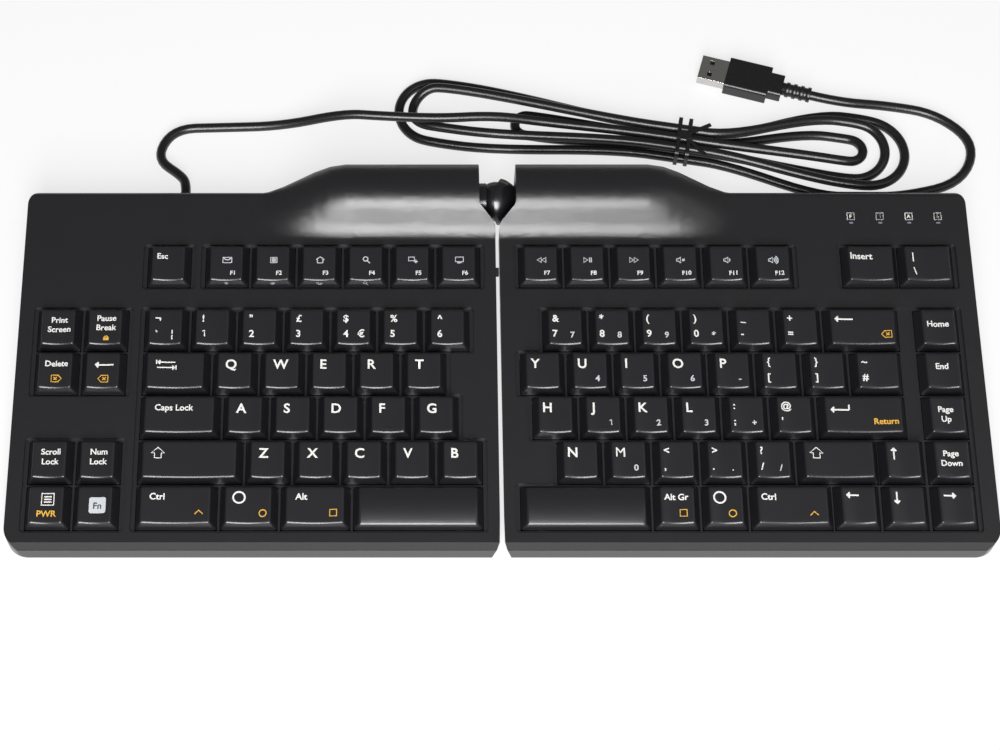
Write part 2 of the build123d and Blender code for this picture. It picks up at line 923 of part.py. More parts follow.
# Plug: it lies on the desk and points to the left and a little back
plug_place = (138.8, 132.0, plug_height / 2)
plug_angle = 163.7
boot_length = 12.5
mould_neck = 6.0
mould_length = 25.0
mould_neck_share = 0.72
boot_radius = 3.3
boot_ribs = 4
boot_rib_rise = 0.5
tongue_thickness = 1.9
tongue_setback = 1.0
tongue_clearance = 0.1
window_place = 0.6
window_length = 2.0
plug_round = 1.5


def plug_direction(distance):
    turn = math.radians(plug_angle)
    return (
        plug_place[0] + distance * math.cos(turn), plug_place[1] + distance * math.sin(turn), plug_place[2],
    )


plug_frame = Location(plug_place, (0, 0, plug_angle))

lead_points = [
    (relief_x, home_y + back_edge_from_home + relief_length / 2, relief_height),
    (relief_x, home_y + back_edge_from_home + relief_length / 2 + lead_straight, relief_height),
    (-146.0, 100.0, 2.8),
    (-139.0, 116.5, desk_level),
    (-119.0, 117.4, desk_level),
    (-91.0, 118.6, desk_level),
    along(hank_start, hank_start_run, -join_run),
    hank_start,
]
tail_points = [
    hank_end,
    along(hank_end, hank_end_run, join_run),
    (200.5, 88.0, desk_level),
    (209.0, 108.0, desk_level),
    (193.5, 123.5, desk_level),
    (172.0, 127.5, desk_level + tail_rise),
    plug_direction(-tail_run),
    plug_direction(0),
]


def plug_box(x0, x1, width, height):
    return placed_box(x0, x1, -width / 2, width / 2, -height / 2, height / 2)


def make_mould():
    """Overmould with its stepped shoulder."""
    start = boot_length
    neck_end = start + mould_neck
    end = start + mould_length
    grip = plug_box(neck_end, end, plug_width, plug_height)
    grip = fillet(grip.edges().filter_by(Axis.X), plug_round)
    neck = plug_box(start, neck_end, plug_width * mould_neck_share, plug_height - plug_round)
    neck = fillet(neck.edges().filter_by(Axis.X), plug_round)
    return plug_frame * (grip + neck)


def make_boot():
    """Ribbed strain relief of the plug with the cord's bore."""
    boot = rod((0, 0, 0), (1, 0, 0), boot_radius - boot_rib_rise, boot_length)
    step = boot_length / boot_ribs
    for i in range(boot_ribs):
        boot += rod((i * step, 0, 0), (1, 0, 0), boot_radius, step / 2)
    return plug_frame * boot


def make_shell():
    """Steel shell of the plug with two square windows."""
    start = boot_length + mould_length
    end = start + shell_length
    shell = plug_box(start, end, shell_width, shell_height)
    inner_width = shell_width - 2 * shell_wall
    shell -= plug_box(start - wall, end + wall, inner_width, shell_height - 2 * shell_wall)
    middle = start + window_place * shell_length
    for side in (-shell_width / 4, shell_width / 4):
        half = window_length / 2
        shell -= placed_box(middle - half, middle + half, side - half, side + half, 0, shell_height)
    return plug_frame * shell


def make_tongue():
    start = boot_length + mould_length
    end = start + shell_length - tongue_setback
    width = shell_width - 2 * (shell_wall + tongue_clearance)
    low = -shell_height / 2 + shell_wall
    tongue = placed_box(start, end, -width / 2, width / 2, low, low + tongue_thickness)
    return plug_frame * tongue


tie_strip = 1.6
tie_spread = 2.2
tie_end = 13.0
tie_angles = (35, -40)


def make_tie():
    """Flat twist tie: two wraps round the strands and two crossed ends."""
    width = 3 * strand_step + 2 * (cord_radius + free_clearance)
    height = layer_step + 2 * (cord_radius + tie_lift) - tie_thickness
    outside = width + 2 * tie_thickness
    outer = RectangleRounded(outside, height + tie_thickness, cord_radius + tie_thickness)
    inner = RectangleRounded(width, height - tie_thickness, cord_radius)
    centre = (0, 0, (height + tie_thickness) / 2)
    ring = Plane(origin=centre, x_dir=(0, 1, 0), z_dir=(1, 0, 0)) * (outer - inner)
    top = height + tie_thickness
    tie = placed_box(-2 * tie_strip, 2 * tie_strip, -tie_strip, tie_strip, height, top + tie_strip / 2)
    for shift in (-tie_spread, tie_spread):
        tie += Pos(shift - tie_strip / 2, 0, 0) * extrude(ring, amount=tie_strip)
    for angle in tie_angles:
        strip = placed_box(0, tie_end, -tie_strip / 2, tie_strip / 2, height, top)
        tie += Rot(0, 0, angle) * strip
    return Location((hank_centre[0], hank_centre[1], 0), (0, 0, hank_turn)) * tie


def make_relief():
    """Bushing in the back wall of the left half that the cord comes out of."""
    wall_back = home_y + back_edge_from_home
    start = wall_back - wall - free_clearance - floor_thickness
    end = wall_back + relief_length / 2
    bushing = rod((relief_x, start, relief_height), (0, 1, 0), relief_radius, end - start)
    place = (relief_x, start - floor_thickness, relief_height)
    flange = rod(place, (0, 1, 0), relief_flange, floor_thickness)
    for i in range(relief_rings):
        place = (relief_x, wall_back + relief_ring_start + i * relief_ring_step, relief_height)
        bushing += rod(place, (0, 1, 0), relief_radius + relief_ring_rise, relief_ring_width)
    return bushing + flange


def relief_hole():
    y = home_y + back_edge_from_home - 2 * wall
    return rod((relief_x, y, relief_height), (0, 1, 0), relief_radius + fit_clearance, 3 * wall)


def make_cable(x0, x1):
    return centre_rod(x0, x1, cable_radius)


bumper_from_home = 72.0
bumper_length = 3.0
bumper_drop = 2.0
bumper_height = 2.4
bumper_reach = half_gap - free_clearance


def make_bumper():
    """Rubber nub in the seam that keeps the halves apart."""
    top = deck_height(bumper_from_home) - bumper_drop
    y0 = home_y + bumper_from_home
    return placed_box(-half_gap, bumper_reach, y0, y0 + bumper_length, top - bumper_height, top)


nodes = {}
outer_half = half_solid(0)
inner_half = half_solid(wall)


def make_half(side, blocks, extra_pockets):
    """All pieces of one half. The left one is built as its mirror image."""
    sign = 1 if side == "right" else -1
    keys = []
    for name, rows in blocks.items():
        block = spread(rows)
        keys += [(row, sign * centre, width) for row, centre, width in block]
        caps = [cap_at(row, centre, width) for row, centre, width in block]
        nodes[name] = caps
    pockets = []
    for rows in blocks.values():
        for row, left, units in rows:
            width = sum(units) * pitch
            start = left if sign > 0 else -left - width
            pockets.append(row_recess(row, start, units))
    pieces = {
        "top_cover": make_cover(outer_half, inner_half, keys, pockets + extra_pockets),
        "base": make_base(outer_half, inner_half),
        "switch_plate": make_plate(keys),
        "dome_sheet": make_dome_sheet(keys),
        "membrane": make_membrane(),
        "feet": make_feet(),
        "case_screws": make_screws(),
    }
    return pieces


right = make_half("right", right_keys, [filler_recess()])
left = make_half("left", left_keys, [])

wall_hole = centre_rod(0, cut_overrun, stub_radius + fit_clearance)
cover = right["top_cover"] + lever_housing()
cover -= lever_pocket() + pin_rod(fit_clearance)
right["top_cover"] = cover - wall_hole
for x in light_places:
    right["top_cover"] -= light_block(x, fit_clearance, wall)
right["base"] -= wall_hole
neck_hole = centre_rod(0, cut_overrun, neck_radius + fit_clearance)
left["top_cover"] -= neck_hole
left["base"] -= neck_hole

for name, shape in right.items():
    nodes["right_" + name] = shape
for name, shape in left.items():
    if isinstance(shape, list):
        nodes["left_" + name] = [mirrored(piece) for piece in shape]
    else:
        nodes["left_" + name] = mirrored(shape)
nodes["left_top_cover"] -= relief_hole()
nodes["left_base"] -= relief_hole()

nodes["ball_stud"] = make_ball_stud()
nodes["left_collar"] = make_collar()
nodes["friction_liner"] = make_liner()
nodes["socket_cup"] = make_cup()
nodes["lock_lever"] = make_lever()
nodes["lever_pin"] = pin_rod(0)
nodes["link_cable_left"] = make_cable(-3 * hump_inner, ball_radius - cable_radius)
nodes["link_cable_right"] = make_cable(hump_inner + wall, 4 * hump_inner)
nodes["centre_bumper"] = make_bumper()
nodes["indicator_lights"] = make_lights()
nodes["indicator_board"] = make_light_board()
nodes["controller_board"] = make_controller()
nodes["cable_strain_relief"] = make_relief()
nodes["cord_lead"] = cord_tube("cord lead", lead_points)
nodes["cord_hank"] = make_hank()
nodes["cord_tail"] = cord_tube("cord tail", tail_points)
nodes["twist_tie"] = make_tie()
nodes["plug_mould"] = make_mould()
nodes["plug_boot"] = make_boot()
nodes["plug_shell"] = make_shell()
nodes["plug_tongue"] = make_tongue()

for name, shape in nodes.items():
    solids = shape if isinstance(shape, list) else list(shape.solids())
    export_step(Compound(children=solids), "parts/" + name + ".step")
print(len(nodes), "nodes")
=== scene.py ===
import math

import bmesh
import bpy
from mathutils import Matrix, Vector


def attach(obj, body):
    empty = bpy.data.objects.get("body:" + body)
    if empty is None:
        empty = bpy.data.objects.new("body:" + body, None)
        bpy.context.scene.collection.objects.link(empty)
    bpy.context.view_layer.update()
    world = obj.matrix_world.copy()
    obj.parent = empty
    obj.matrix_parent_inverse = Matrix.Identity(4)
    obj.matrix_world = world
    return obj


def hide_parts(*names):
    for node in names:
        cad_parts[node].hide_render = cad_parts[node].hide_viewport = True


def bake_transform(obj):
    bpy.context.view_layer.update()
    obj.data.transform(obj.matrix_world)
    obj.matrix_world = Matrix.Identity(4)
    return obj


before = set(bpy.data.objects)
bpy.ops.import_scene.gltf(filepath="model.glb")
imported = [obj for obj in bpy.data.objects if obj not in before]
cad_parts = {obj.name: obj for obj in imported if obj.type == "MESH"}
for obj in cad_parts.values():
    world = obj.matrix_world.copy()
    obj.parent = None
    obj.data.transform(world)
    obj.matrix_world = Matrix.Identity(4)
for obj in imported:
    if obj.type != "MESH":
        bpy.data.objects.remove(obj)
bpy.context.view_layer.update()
scene = bpy.context.scene
scene.view_settings.view_transform = "Standard"
mm = 0.001

# %% [markdown]
# ## Where the camera stands
# The photograph was taken from in front and above, about 64 degrees over the desk, with a normal
# lens. The frame is cut from a wider one, so the keyboard's axis lies beside the picture's
# middle. A sideways shift of the lens copies that without turning the object.
# %% Camera
camera_pitch = 26.39
camera_data = bpy.data.cameras.new("photo_camera")
camera_data.lens = 77.8
camera_data.sensor_width = 36.0
camera_data.shift_x = 0.0876
camera = bpy.data.objects.new("photo_camera", camera_data)
camera.location = (-0.0352, -0.3977, 0.7962)
camera.rotation_euler = (math.radians(camera_pitch), 0, 0)
scene.collection.objects.link(camera)
scene.camera = camera
print("camera distance", round(camera.location.length, 3), "m")

# %% [markdown]
# ## Shader maths as plain sums
# A finish here is a small sum of noise and masks. Wiring Math nodes by hand hides the idea, so
# one class wraps a socket: adding or multiplying two of them adds the node. Everything else that
# a material needs comes from one method that makes any node.
# %% The socket class
class Signal:
    """A number or colour that travels along a wire of a node tree."""

    def __init__(self, finish, socket):
        self.finish = finish
        self.socket = socket

    def maths(self, operation, *others):
        """A Math node that takes this signal first and then the others."""
        values = {0: self}
        for place, other in enumerate(others, start=1):
            values[place] = other
        return self.finish.node("ShaderNodeMath", {"operation": operation}, values)

    def __add__(self, other):
        return self.maths("ADD", other)

    def __radd__(self, other):
        return self.maths("ADD", other)

    def __mul__(self, other):
        return self.maths("MULTIPLY", other)

    def __rmul__(self, other):
        return self.maths("MULTIPLY", other)

    def __sub__(self, other):
        return self.maths("SUBTRACT", other)

    def __rsub__(self, other):
        return (self * -1).maths("ADD", other)

    def above(self, edge, softness):
        """0 below an edge and 1 above it, over a soft step."""
        raised = (self - (edge - softness)) * (0.5 / softness)
        return raised.maths("MAXIMUM", 0).maths("MINIMUM", 1)


print("a signal has", [name for name in vars(Signal) if not name.startswith("__")])

# %% The finish class
class Finish:
    """One material: a shader, its constants, and the signals that vary over the surface."""

    def __init__(self, name, **constants):
        self.material = bpy.data.materials.new(name)
        self.material.use_nodes = True
        self.tree = self.material.node_tree
        self.shader = self.tree.nodes["Principled BSDF"]
        for socket, value in constants.items():
            self.shader.inputs[socket.replace("_", " ")].default_value = value
        coordinates = self.tree.nodes.new("ShaderNodeTexCoord")
        self.place = Signal(self, coordinates.outputs["Object"])

    def node(self, kind, settings, values, output=0):
        """Adds any node: its settings first, then the values or links of its sockets."""
        made = self.tree.nodes.new(kind)
        for key, value in settings.items():
            setattr(made, key, value)
        for key, value in values.items():
            if isinstance(value, Signal):
                self.tree.links.new(value.socket, made.inputs[key])
            else:
                made.inputs[key].default_value = value
        return Signal(self, made.outputs[output])

    def noise(self, grain, detail=2.0, stretch=(1, 1, 1)):
        """Soft random blotches, sized by their grain in metres."""
        spread = self.node("ShaderNodeMapping", {}, {"Vector": self.place, "Scale": stretch})
        values = {"Vector": spread, "Scale": 1 / grain, "Detail": detail}
        return self.node("ShaderNodeTexNoise", {"noise_dimensions": "3D"}, values)

    def mix(self, share, low, high):
        """A colour between two others."""
        values = {0: share, 6: (*low, 1), 7: (*high, 1)}
        return self.node("ShaderNodeMix", {"data_type": "RGBA"}, values, output=2)

    def feed(self, socket, signal):
        """Links a signal to a socket of the shader."""
        self.tree.links.new(signal.socket, self.shader.inputs[socket])
        return self

    def bump(self, height, depth):
        """Fine relief of a depth in metres."""
        values = {"Height": height, "Strength": 1.0, "Distance": depth}
        return self.feed("Normal", self.node("ShaderNodeBump", {}, values))


print("a finish has", [name for name in vars(Finish) if not name.startswith("__")])

# %% [markdown]
# ## Moulded plastic with a sparked grain
# The covers are black ABS, moulded in a tool whose walls were eroded by sparks. That leaves a
# grain of about a fifth of a millimetre, which spreads a lamp's reflection into the wide grey
# sheen on the hump. Two sizes of noise give the grain its bump and a slight change of gloss.
# %% Plastics
blotch = 9.0
grain_gloss = 0.12
blotch_gloss = 0.05


def moulded(name, low, high, roughness, grain, depth, gloss=0.5):
    """Plastic between two shades, with a grain of its own size and depth in millimetres."""
    finish = Finish(name, Specular_IOR_Level=gloss)
    fine = finish.noise(grain * mm)
    wide = finish.noise(blotch * mm)
    finish.feed("Base Color", finish.mix(fine, low, high))
    finish.feed("Roughness", roughness + (fine - 0.5) * grain_gloss + (wide - 0.5) * blotch_gloss)
    return finish.bump(fine, depth * mm).material


case_plastic = moulded(
    "case_plastic", (0.005, 0.005, 0.006), (0.012, 0.011, 0.013),
    roughness=0.36, grain=0.28, depth=0.05, gloss=0.85,
)
key_plastic = moulded(
    "key_plastic", (0.007, 0.007, 0.009), (0.015, 0.014, 0.017),
    roughness=0.33, grain=0.20, depth=0.02, gloss=0.8,
)
base_plastic = moulded(
    "base_plastic", (0.014, 0.014, 0.016), (0.026, 0.026, 0.029),
    roughness=0.24, grain=0.35, depth=0.006, gloss=1.0,
)
gloss_plastic = moulded(
    "gloss_plastic", (0.006, 0.006, 0.008), (0.012, 0.012, 0.014),
    roughness=0.26, grain=0.60, depth=0.004, gloss=0.8,
)
print("plastics", [material.name for material in bpy.data.materials])

# %% [markdown]
# ## Rubber, metals, films and inks
# The hidden parts need a finish too, because an exploded or opened view shows them: the rubber
# feet, nickel-plated screws, the clear film of the membrane and a green circuit board. The inks
# are opaque and a little worn, so their edges aren't brighter than print can be.
# %% Rubber and soft plastics
rubber = moulded(
    "rubber", (0.010, 0.010, 0.010), (0.024, 0.023, 0.022), roughness=0.78, grain=0.5, depth=0.03,
)
cord_pvc = moulded(
    "cord_pvc", (0.006, 0.006, 0.007), (0.013, 0.013, 0.014), roughness=0.30, grain=1.2, depth=0.02,
)
tie_plastic = moulded(
    "tie_plastic", (0.006, 0.006, 0.007), (0.014, 0.014, 0.015), roughness=0.34, grain=0.8,
    depth=0.02,
)
dome_rubber = moulded(
    "dome_rubber", (0.20, 0.20, 0.19), (0.27, 0.27, 0.26), roughness=0.62, grain=1.5, depth=0.02,
)
liner_nylon = moulded(
    "liner_nylon", (0.52, 0.50, 0.45), (0.60, 0.58, 0.53), roughness=0.42, grain=1.0, depth=0.01,
)
print("soft materials", rubber.name, cord_pvc.name, tie_plastic.name)

# %% Plated steel
brush_stretch = (0.1, 1, 1)
brush_detail = 3.0
brush_depth = 0.004


def metal(name, colour, roughness, grain):
    """Brushed plating: the noise is drawn out along the pressing direction."""
    finish = Finish(name, Metallic=1.0)
    brushed = finish.noise(grain * mm, brush_detail, stretch=brush_stretch)
    darker = tuple(0.75 * c for c in colour)
    finish.feed("Base Color", finish.mix(brushed, darker, colour))
    finish.feed("Roughness", roughness + (brushed - 0.5) * 0.2)
    return finish.bump(brushed, brush_depth * mm).material


screw_steel = metal("screw_steel", (0.55, 0.54, 0.52), roughness=0.34, grain=0.5)
shell_steel = metal("shell_steel", (0.70, 0.69, 0.66), roughness=0.24, grain=0.3)
print("metals", screw_steel.name, shell_steel.name)


# %% Board and film
def sheet_stock(name, low, high, roughness, track):
    """Board or film with a faint pattern of tracks, which lie a track's width apart."""
    finish = Finish(name)
    wave = {"Vector": finish.place, "Scale": 1 / (track * mm), "Distortion": 6.0, "Detail": 1.0}
    tracks = finish.node("ShaderNodeTexWave", {"bands_direction": "DIAGONAL"}, wave, output=1)
    tracks = tracks.above(0.6, 0.08)
    finish.feed("Base Color", finish.mix(tracks, low, high))
    return finish.feed("Roughness", roughness + tracks * 0.1).bump(tracks, 0.02 * mm).material


board_green = sheet_stock(
    "board_green", (0.01, 0.09, 0.04), (0.02, 0.16, 0.07), roughness=0.38, track=4.0,
)
film_clear = sheet_stock(
    "film_clear", (0.46, 0.50, 0.50), (0.30, 0.32, 0.33), roughness=0.22, track=7.0,
)
print("sheet stock", board_green.name, film_clear.name)


# %% Inks
def ink(name, colour):
    """Printed ink with a slight wear."""
    finish = Finish(name)
    worn = finish.noise(0.5 * mm).above(0.62, 0.2)
    faded = tuple(0.82 * c for c in colour)
    finish.feed("Base Color", finish.mix(worn, colour, faded))
    return finish.feed("Roughness", 0.5 + worn * 0.15).material


white_ink = ink("white_ink", (0.80, 0.79, 0.76))
grey_ink = ink("grey_ink", (0.56, 0.58, 0.61))
gold_ink = ink("gold_ink", (0.72, 0.40, 0.05))
dark_ink = ink("dark_ink", (0.05, 0.055, 0.07))
lens_grey = ink("lens_grey", (0.19, 0.23, 0.28))
print("materials", len(bpy.data.materials))

# %% [markdown]
# ## Floor and light
# The object was lit from near the camera by one soft source, on a white sheet. The floor shows
# white to the camera and to mirror-like reflections, and keeps a share of its true shading so
# that the contact shadows stay. A tall lamp in front of the desk, lower than the camera, gives
# the wide sheen on the hump's front.
# %% Floor
floor_reach = 6.0
floor_mesh = bpy.data.meshes.new("floor")
bm = bmesh.new()
bmesh.ops.create_grid(bm, x_segments=1, y_segments=1, size=floor_reach)
bm.to_mesh(floor_mesh)
bm.free()
floor = bpy.data.objects.new("floor", floor_mesh)
scene.collection.objects.link(floor)
print("floor", 2 * floor_reach, "m wide")

# %% White paper
paper_shade = 0.88
white_share = 0.75
paper = Finish("paper", Roughness=0.9, Base_Color=(paper_shade, paper_shade, paper_shade, 1))
rays = paper.tree.nodes.new("ShaderNodeLightPath")
seen = Signal(paper, rays.outputs["Is Camera Ray"])
for kind in ("Is Glossy Ray", "Is Transmission Ray"):
    seen = seen + Signal(paper, rays.outputs[kind])
whiteness = seen.maths("MINIMUM", 1) * white_share
glow = paper.node("ShaderNodeEmission", {}, {"Color": (1, 1, 1, 1)})
shaded = Signal(paper, paper.shader.outputs[0])
shown = paper.node("ShaderNodeMixShader", {}, {0: whiteness, 1: shaded, 2: glow})
paper.tree.links.new(shown.socket, paper.tree.nodes["Material Output"].inputs[0])
floor_mesh.materials.append(paper.material)
print("share of plain white", white_share)


# %% Lamps
def softbox(name, place, target, width, height, power):
    """Rectangular area lamp that looks at a point."""
    lamp = bpy.data.lights.new(name, "AREA")
    lamp.shape = "RECTANGLE"
    lamp.size = width
    lamp.size_y = height
    lamp.energy = power
    holder = bpy.data.objects.new(name, lamp)
    holder.location = place
    aim = Vector(target) - Vector(place)
    holder.rotation_euler = aim.to_track_quat("-Z", "Y").to_euler()
    scene.collection.objects.link(holder)


softbox(
    "key_softbox", place=(-0.05, -0.88, 0.82), target=(0, 0.03, 0),
    width=0.50, height=0.80, power=23.0,
)
softbox("fill_softbox", place=(0.9, -0.2, 1.0), target=(0, 0, 0), width=0.9, height=0.9, power=1.5)
world = bpy.data.worlds.new("studio")
scene.world = world
world.use_nodes = True
backdrop = world.node_tree.nodes["Background"]
backdrop.inputs["Color"].default_value = (1, 1, 1, 1)
backdrop.inputs["Strength"].default_value = 0.15

# %% [markdown]
# ## The cord
# A cord of about 4 mm leaves the left half's back wall, turns over the desk, and is wound into a
# hank of three flat turns held by a wire tie before it runs to its plug. A smooth spline through a
# few control points is the natural way to draw it, and the turns are worked out by a loop, since
# each is a half circle at either end of the hank with the tie in between.
# %% Levels and axes of the hank
cord_radius = 2.1
layer_rise = 4.8
tie_lift = 0.7
strand_pitch = 2.4
desk_level = cord_radius
upper_level = desk_level + layer_rise
top_level = upper_level + layer_rise
hank_centre = (81.6, 107.2)
hank_turn = -9.6


def hank_place(u, w, z):
    """From the hank's own axes to the frame, in millimetres."""
    turn = math.radians(hank_turn)
    x = hank_centre[0] + u * math.cos(turn) - w * math.sin(turn)
    y = hank_centre[1] + u * math.sin(turn) + w * math.cos(turn)
    return (x, y, z)


def waist(slot):
    """A strand's place under the tie: odd ones lie below, even ones on top."""
    level = desk_level if slot % 2 else upper_level
    return (0, slot * strand_pitch, level + tie_lift)


print("levels of the strands", desk_level, upper_level, top_level, "mm")

# %% From stop to stop
turn_steps = 6
turn_bulge = 1.035


def glide(route, start, end, start_angle, end_angle):
    """Two control points that let one stop flow into the next."""
    run = math.dist(start[:2], end[:2]) / 4
    for stop, angle, sign in ((start, start_angle, 1), (end, end_angle, -1)):
        turn = math.radians(angle)
        u = stop[0] + sign * run * math.cos(turn)
        w = stop[1] + sign * run * math.sin(turn)
        route.append((u, w, stop[2]))


def half_turn(route, centre, radius, first_angle, level_at):
    """Control points round a half circle; they bulge a little, as the spline cuts inside them."""
    for i in range(turn_steps + 1):
        share = i / turn_steps
        angle = math.radians(first_angle + 180 * share)
        u = centre[0] + turn_bulge * radius * math.cos(angle)
        w = centre[1] + turn_bulge * radius * math.sin(angle)
        route.append((u, w, level_at(share)))


print("control points in a half turn", turn_steps + 1)

# %% Turns of the hank
right_reach = [70.0, 74.0, 77.0]
right_radii = [7.0, 12.5, 18.0]
right_middle = 8.0
left_reach = [68.0, 108.0, 109.0]
left_radii = [5.0, 10.0, 15.0]
left_middle = -1.0
hank_entry = [(-131.0, -13.0), (-105.0, -10.0), (-82.0, -4.5)]
hank_exit = (80.0, -12.5, desk_level)
exit_angle = 9.6


def right_end(route, stop, turn):
    """From the tie round the right end and back; the strand changes its layer there."""
    front, rear = (desk_level, upper_level) if turn % 2 else (upper_level, desk_level)
    reach, radius = right_reach[turn], right_radii[turn]
    glide(route, stop, (reach, right_middle - radius, front), 0, 0)
    half_turn(
        route, (reach, right_middle), radius, -90, lambda share: front + (rear - front) * share,
    )
    stop = waist(turn + 1)
    glide(route, (reach, right_middle + radius, rear), stop, 180, 180)
    route.append(stop)
    return stop


def left_end(route, stop, turn):
    """From the tie round the left end and back; the strand dips to the desk at its tip."""
    level = upper_level if turn % 2 else desk_level
    rise = level - desk_level
    reach, radius = -left_reach[turn], left_radii[turn]
    glide(route, stop, (reach, left_middle + radius, level), 180, 180)
    half_turn(
        route, (reach, left_middle), radius, 90,
        lambda share: desk_level + rise * math.cos(math.pi * share) ** 2,
    )
    stop = waist(-turn - 1)
    glide(route, (reach, left_middle - radius, level), stop, 0, 0)
    route.append(stop)
    return stop


def wind_hank():
    """Control points of the whole hank; the cord comes in as a third layer, on top."""
    stop = waist(0)
    route = [(u, w, top_level) for u, w in hank_entry]
    route += [(-59.0, -1.5, stop[2]), (-24.0, 0, stop[2]), stop]
    for turn in range(len(right_reach)):
        stop = right_end(route, stop, turn)
        stop = left_end(route, stop, turn)
    glide(route, stop, hank_exit, 0, exit_angle)
    route.append(hank_exit)
    return [hank_place(*point) for point in route]


hank_points = wind_hank()
print("hank control points", len(hank_points))

# %% Lead and tail
plug_place = Vector((138.8, 132.0, 3.8))
plug_angle = math.radians(163.7)
plug_run = Vector((math.cos(plug_angle), math.sin(plug_angle), 0))
cord_exit = (-131.5, 79.3, 7.6)


def beyond(point, angle, distance):
    """A point straight on from another, at an angle to the hank's axis."""
    turn = math.radians(hank_turn + angle)
    return (point[0] + distance * math.cos(turn), point[1] + distance * math.sin(turn), point[2])


lead_points = [
    cord_exit,
    (-131.5, 83.3, 7.6),
    (-133.0, 88.3, 7.0),
    (-146.0, 100.0, 2.8),
    (-139.0, 115.8, desk_level),
    (-119.0, 116.4, desk_level),
    (-92.0, 117.2, desk_level),
    beyond(hank_points[0], 5, -15),
]
tail_points = [
    beyond(hank_points[-1], exit_angle, 16),
    (200.5, 88.0, desk_level),
    (209.0, 108.0, desk_level),
    (193.5, 123.5, desk_level),
    (172.0, 127.5, desk_level + 0.4),
    tuple(plug_place - plug_run * 13),
    tuple(plug_place),
]
cord_route = lead_points + hank_points + tail_points
print("control points of the cord", len(cord_route))


# %% Spline and tube
least_step = 0.01 * mm


def spline_curve(name, points, radius):
    """A smooth curve in metres, pulled along by its control points in millimetres."""
    curve = bpy.data.curves.new(name, "CURVE")
    curve.dimensions = "3D"
    curve.resolution_u = 6
    curve.bevel_depth = radius
    curve.bevel_resolution = 5
    curve.use_fill_caps = radius > 0
    spline = curve.splines.new("NURBS")
    spline.points.add(len(points) - 1)
    for control, point in zip(spline.points, points):
        control.co = (point[0] * mm, point[1] * mm, point[2] * mm, 1)
    spline.order_u = 3
    spline.use_endpoint_u = True
    return bpy.data.objects.new(name, curve)


def read_mesh(source):
    """The mesh of a curve or text object, which is in the scene only for this."""
    scene.collection.objects.link(source)
    bpy.context.view_layer.update()
    shaped = source.evaluated_get(bpy.context.evaluated_depsgraph_get())
    mesh = bpy.data.meshes.new_from_object(shaped)
    scene.collection.objects.unlink(source)
    return mesh


centreline = read_mesh(spline_curve("cord_centreline", cord_route, 0))
cord_path = [tuple(vert.co) for vert in centreline.vertices]
spans = list(zip(cord_path, cord_path[1:]))
cord_path = [a for a, b in spans if math.dist(a, b) > least_step] + cord_path[-1:]
cord_mesh = read_mesh(spline_curve("cord_tube", cord_route, cord_radius * mm))

# %% [markdown]
# ## Putting a piece in the scene
# Every piece is made the same way at the end: its mesh gets a material, smooth faces, and an
# object at the origin that rides on one body of the frame and stands for its CAD node.
# %% The helpers for pieces
def piece(name, mesh, material, body, stands_for=(), smooth_angle=40):
    """Adds an object at the origin and ties it to the frame."""
    mesh.name = name
    if isinstance(material, list):
        for one in material:
            mesh.materials.append(one)
    else:
        mesh.materials.clear()
        mesh.materials.append(material)
    mesh.shade_smooth()
    made = bpy.data.objects.new(name, mesh)
    scene.collection.objects.link(made)
    if smooth_angle:
        mesh.set_sharp_from_angle(angle=math.radians(smooth_angle))
    if body:
        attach(made, body)
    if stands_for:
        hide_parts(*stands_for)
    return made


def finish_mesh(bm, name):
    """Closes a bmesh into a mesh with its normals outwards."""
    bmesh.ops.recalc_face_normals(bm, faces=bm.faces)
    mesh = bpy.data.meshes.new(name)
    bm.to_mesh(mesh)
    bm.free()
    return mesh


def pour(bm, joined, carrier):
    """Adds one bmesh to another, by way of a mesh that carries it."""
    bm.to_mesh(carrier)
    bm.free()
    joined.from_mesh(carrier)


def rounded(bm, geometry, size, segments, affect="EDGES"):
    """Bevels edges or corners to an even round."""
    bmesh.ops.bevel(
        bm, geom=geometry, offset=size, offset_type="OFFSET", segments=segments, profile=0.5,
        affect=affect, clamp_overlap=True, material=-1,
    )


def even_shading(made):
    """Weighted normals, so that a large face stays flat beside its small bevels."""
    made.modifiers.new("even_shading", "WEIGHTED_NORMAL").keep_sharp = True


print("meshes before the first piece", len(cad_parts))

# %% The cord as a piece
desk_body = "joint_liner"
cord = piece("cord", cord_mesh, cord_pvc, None, ["cord_lead", "cord_hank", "cord_tail"])
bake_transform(cord)
print("cord faces", len(cord_mesh.polygons))

# %% [markdown]
# ## Key field
# Every key stands on a grid of 19.05 mm, and each row has its own distance up the deck. The rows
# repeat the source's widths in key units. A cap is a hollow block that tapers to a top with a
# shallow trough, and the lamp draws a bright line along its front edge, so that edge needs a
# real rounding and the trough its true depth.
# %% Deck frame
pitch = 19.05
home_y = -36.3
home_height = 13.4
deck_tilt = math.radians(4.0)
row_offset = {"F": 66.6, "D": 38.1, "Q": 19.05, "A": 0.0, "Z": -19.05, "C": -38.1}
deck = Matrix.Translation((0, home_y * mm, home_height * mm)) @ Matrix.Rotation(deck_tilt, 4, "X")


def on_deck(row, centre):
    """From a key's own axes in millimetres to the frame."""
    return deck @ Matrix.Translation((centre * mm, row_offset[row] * mm, 0)) @ Matrix.Scale(mm, 4)


print("rows", len(row_offset), "on a deck tilted", round(math.degrees(deck_tilt), 1), "degrees")

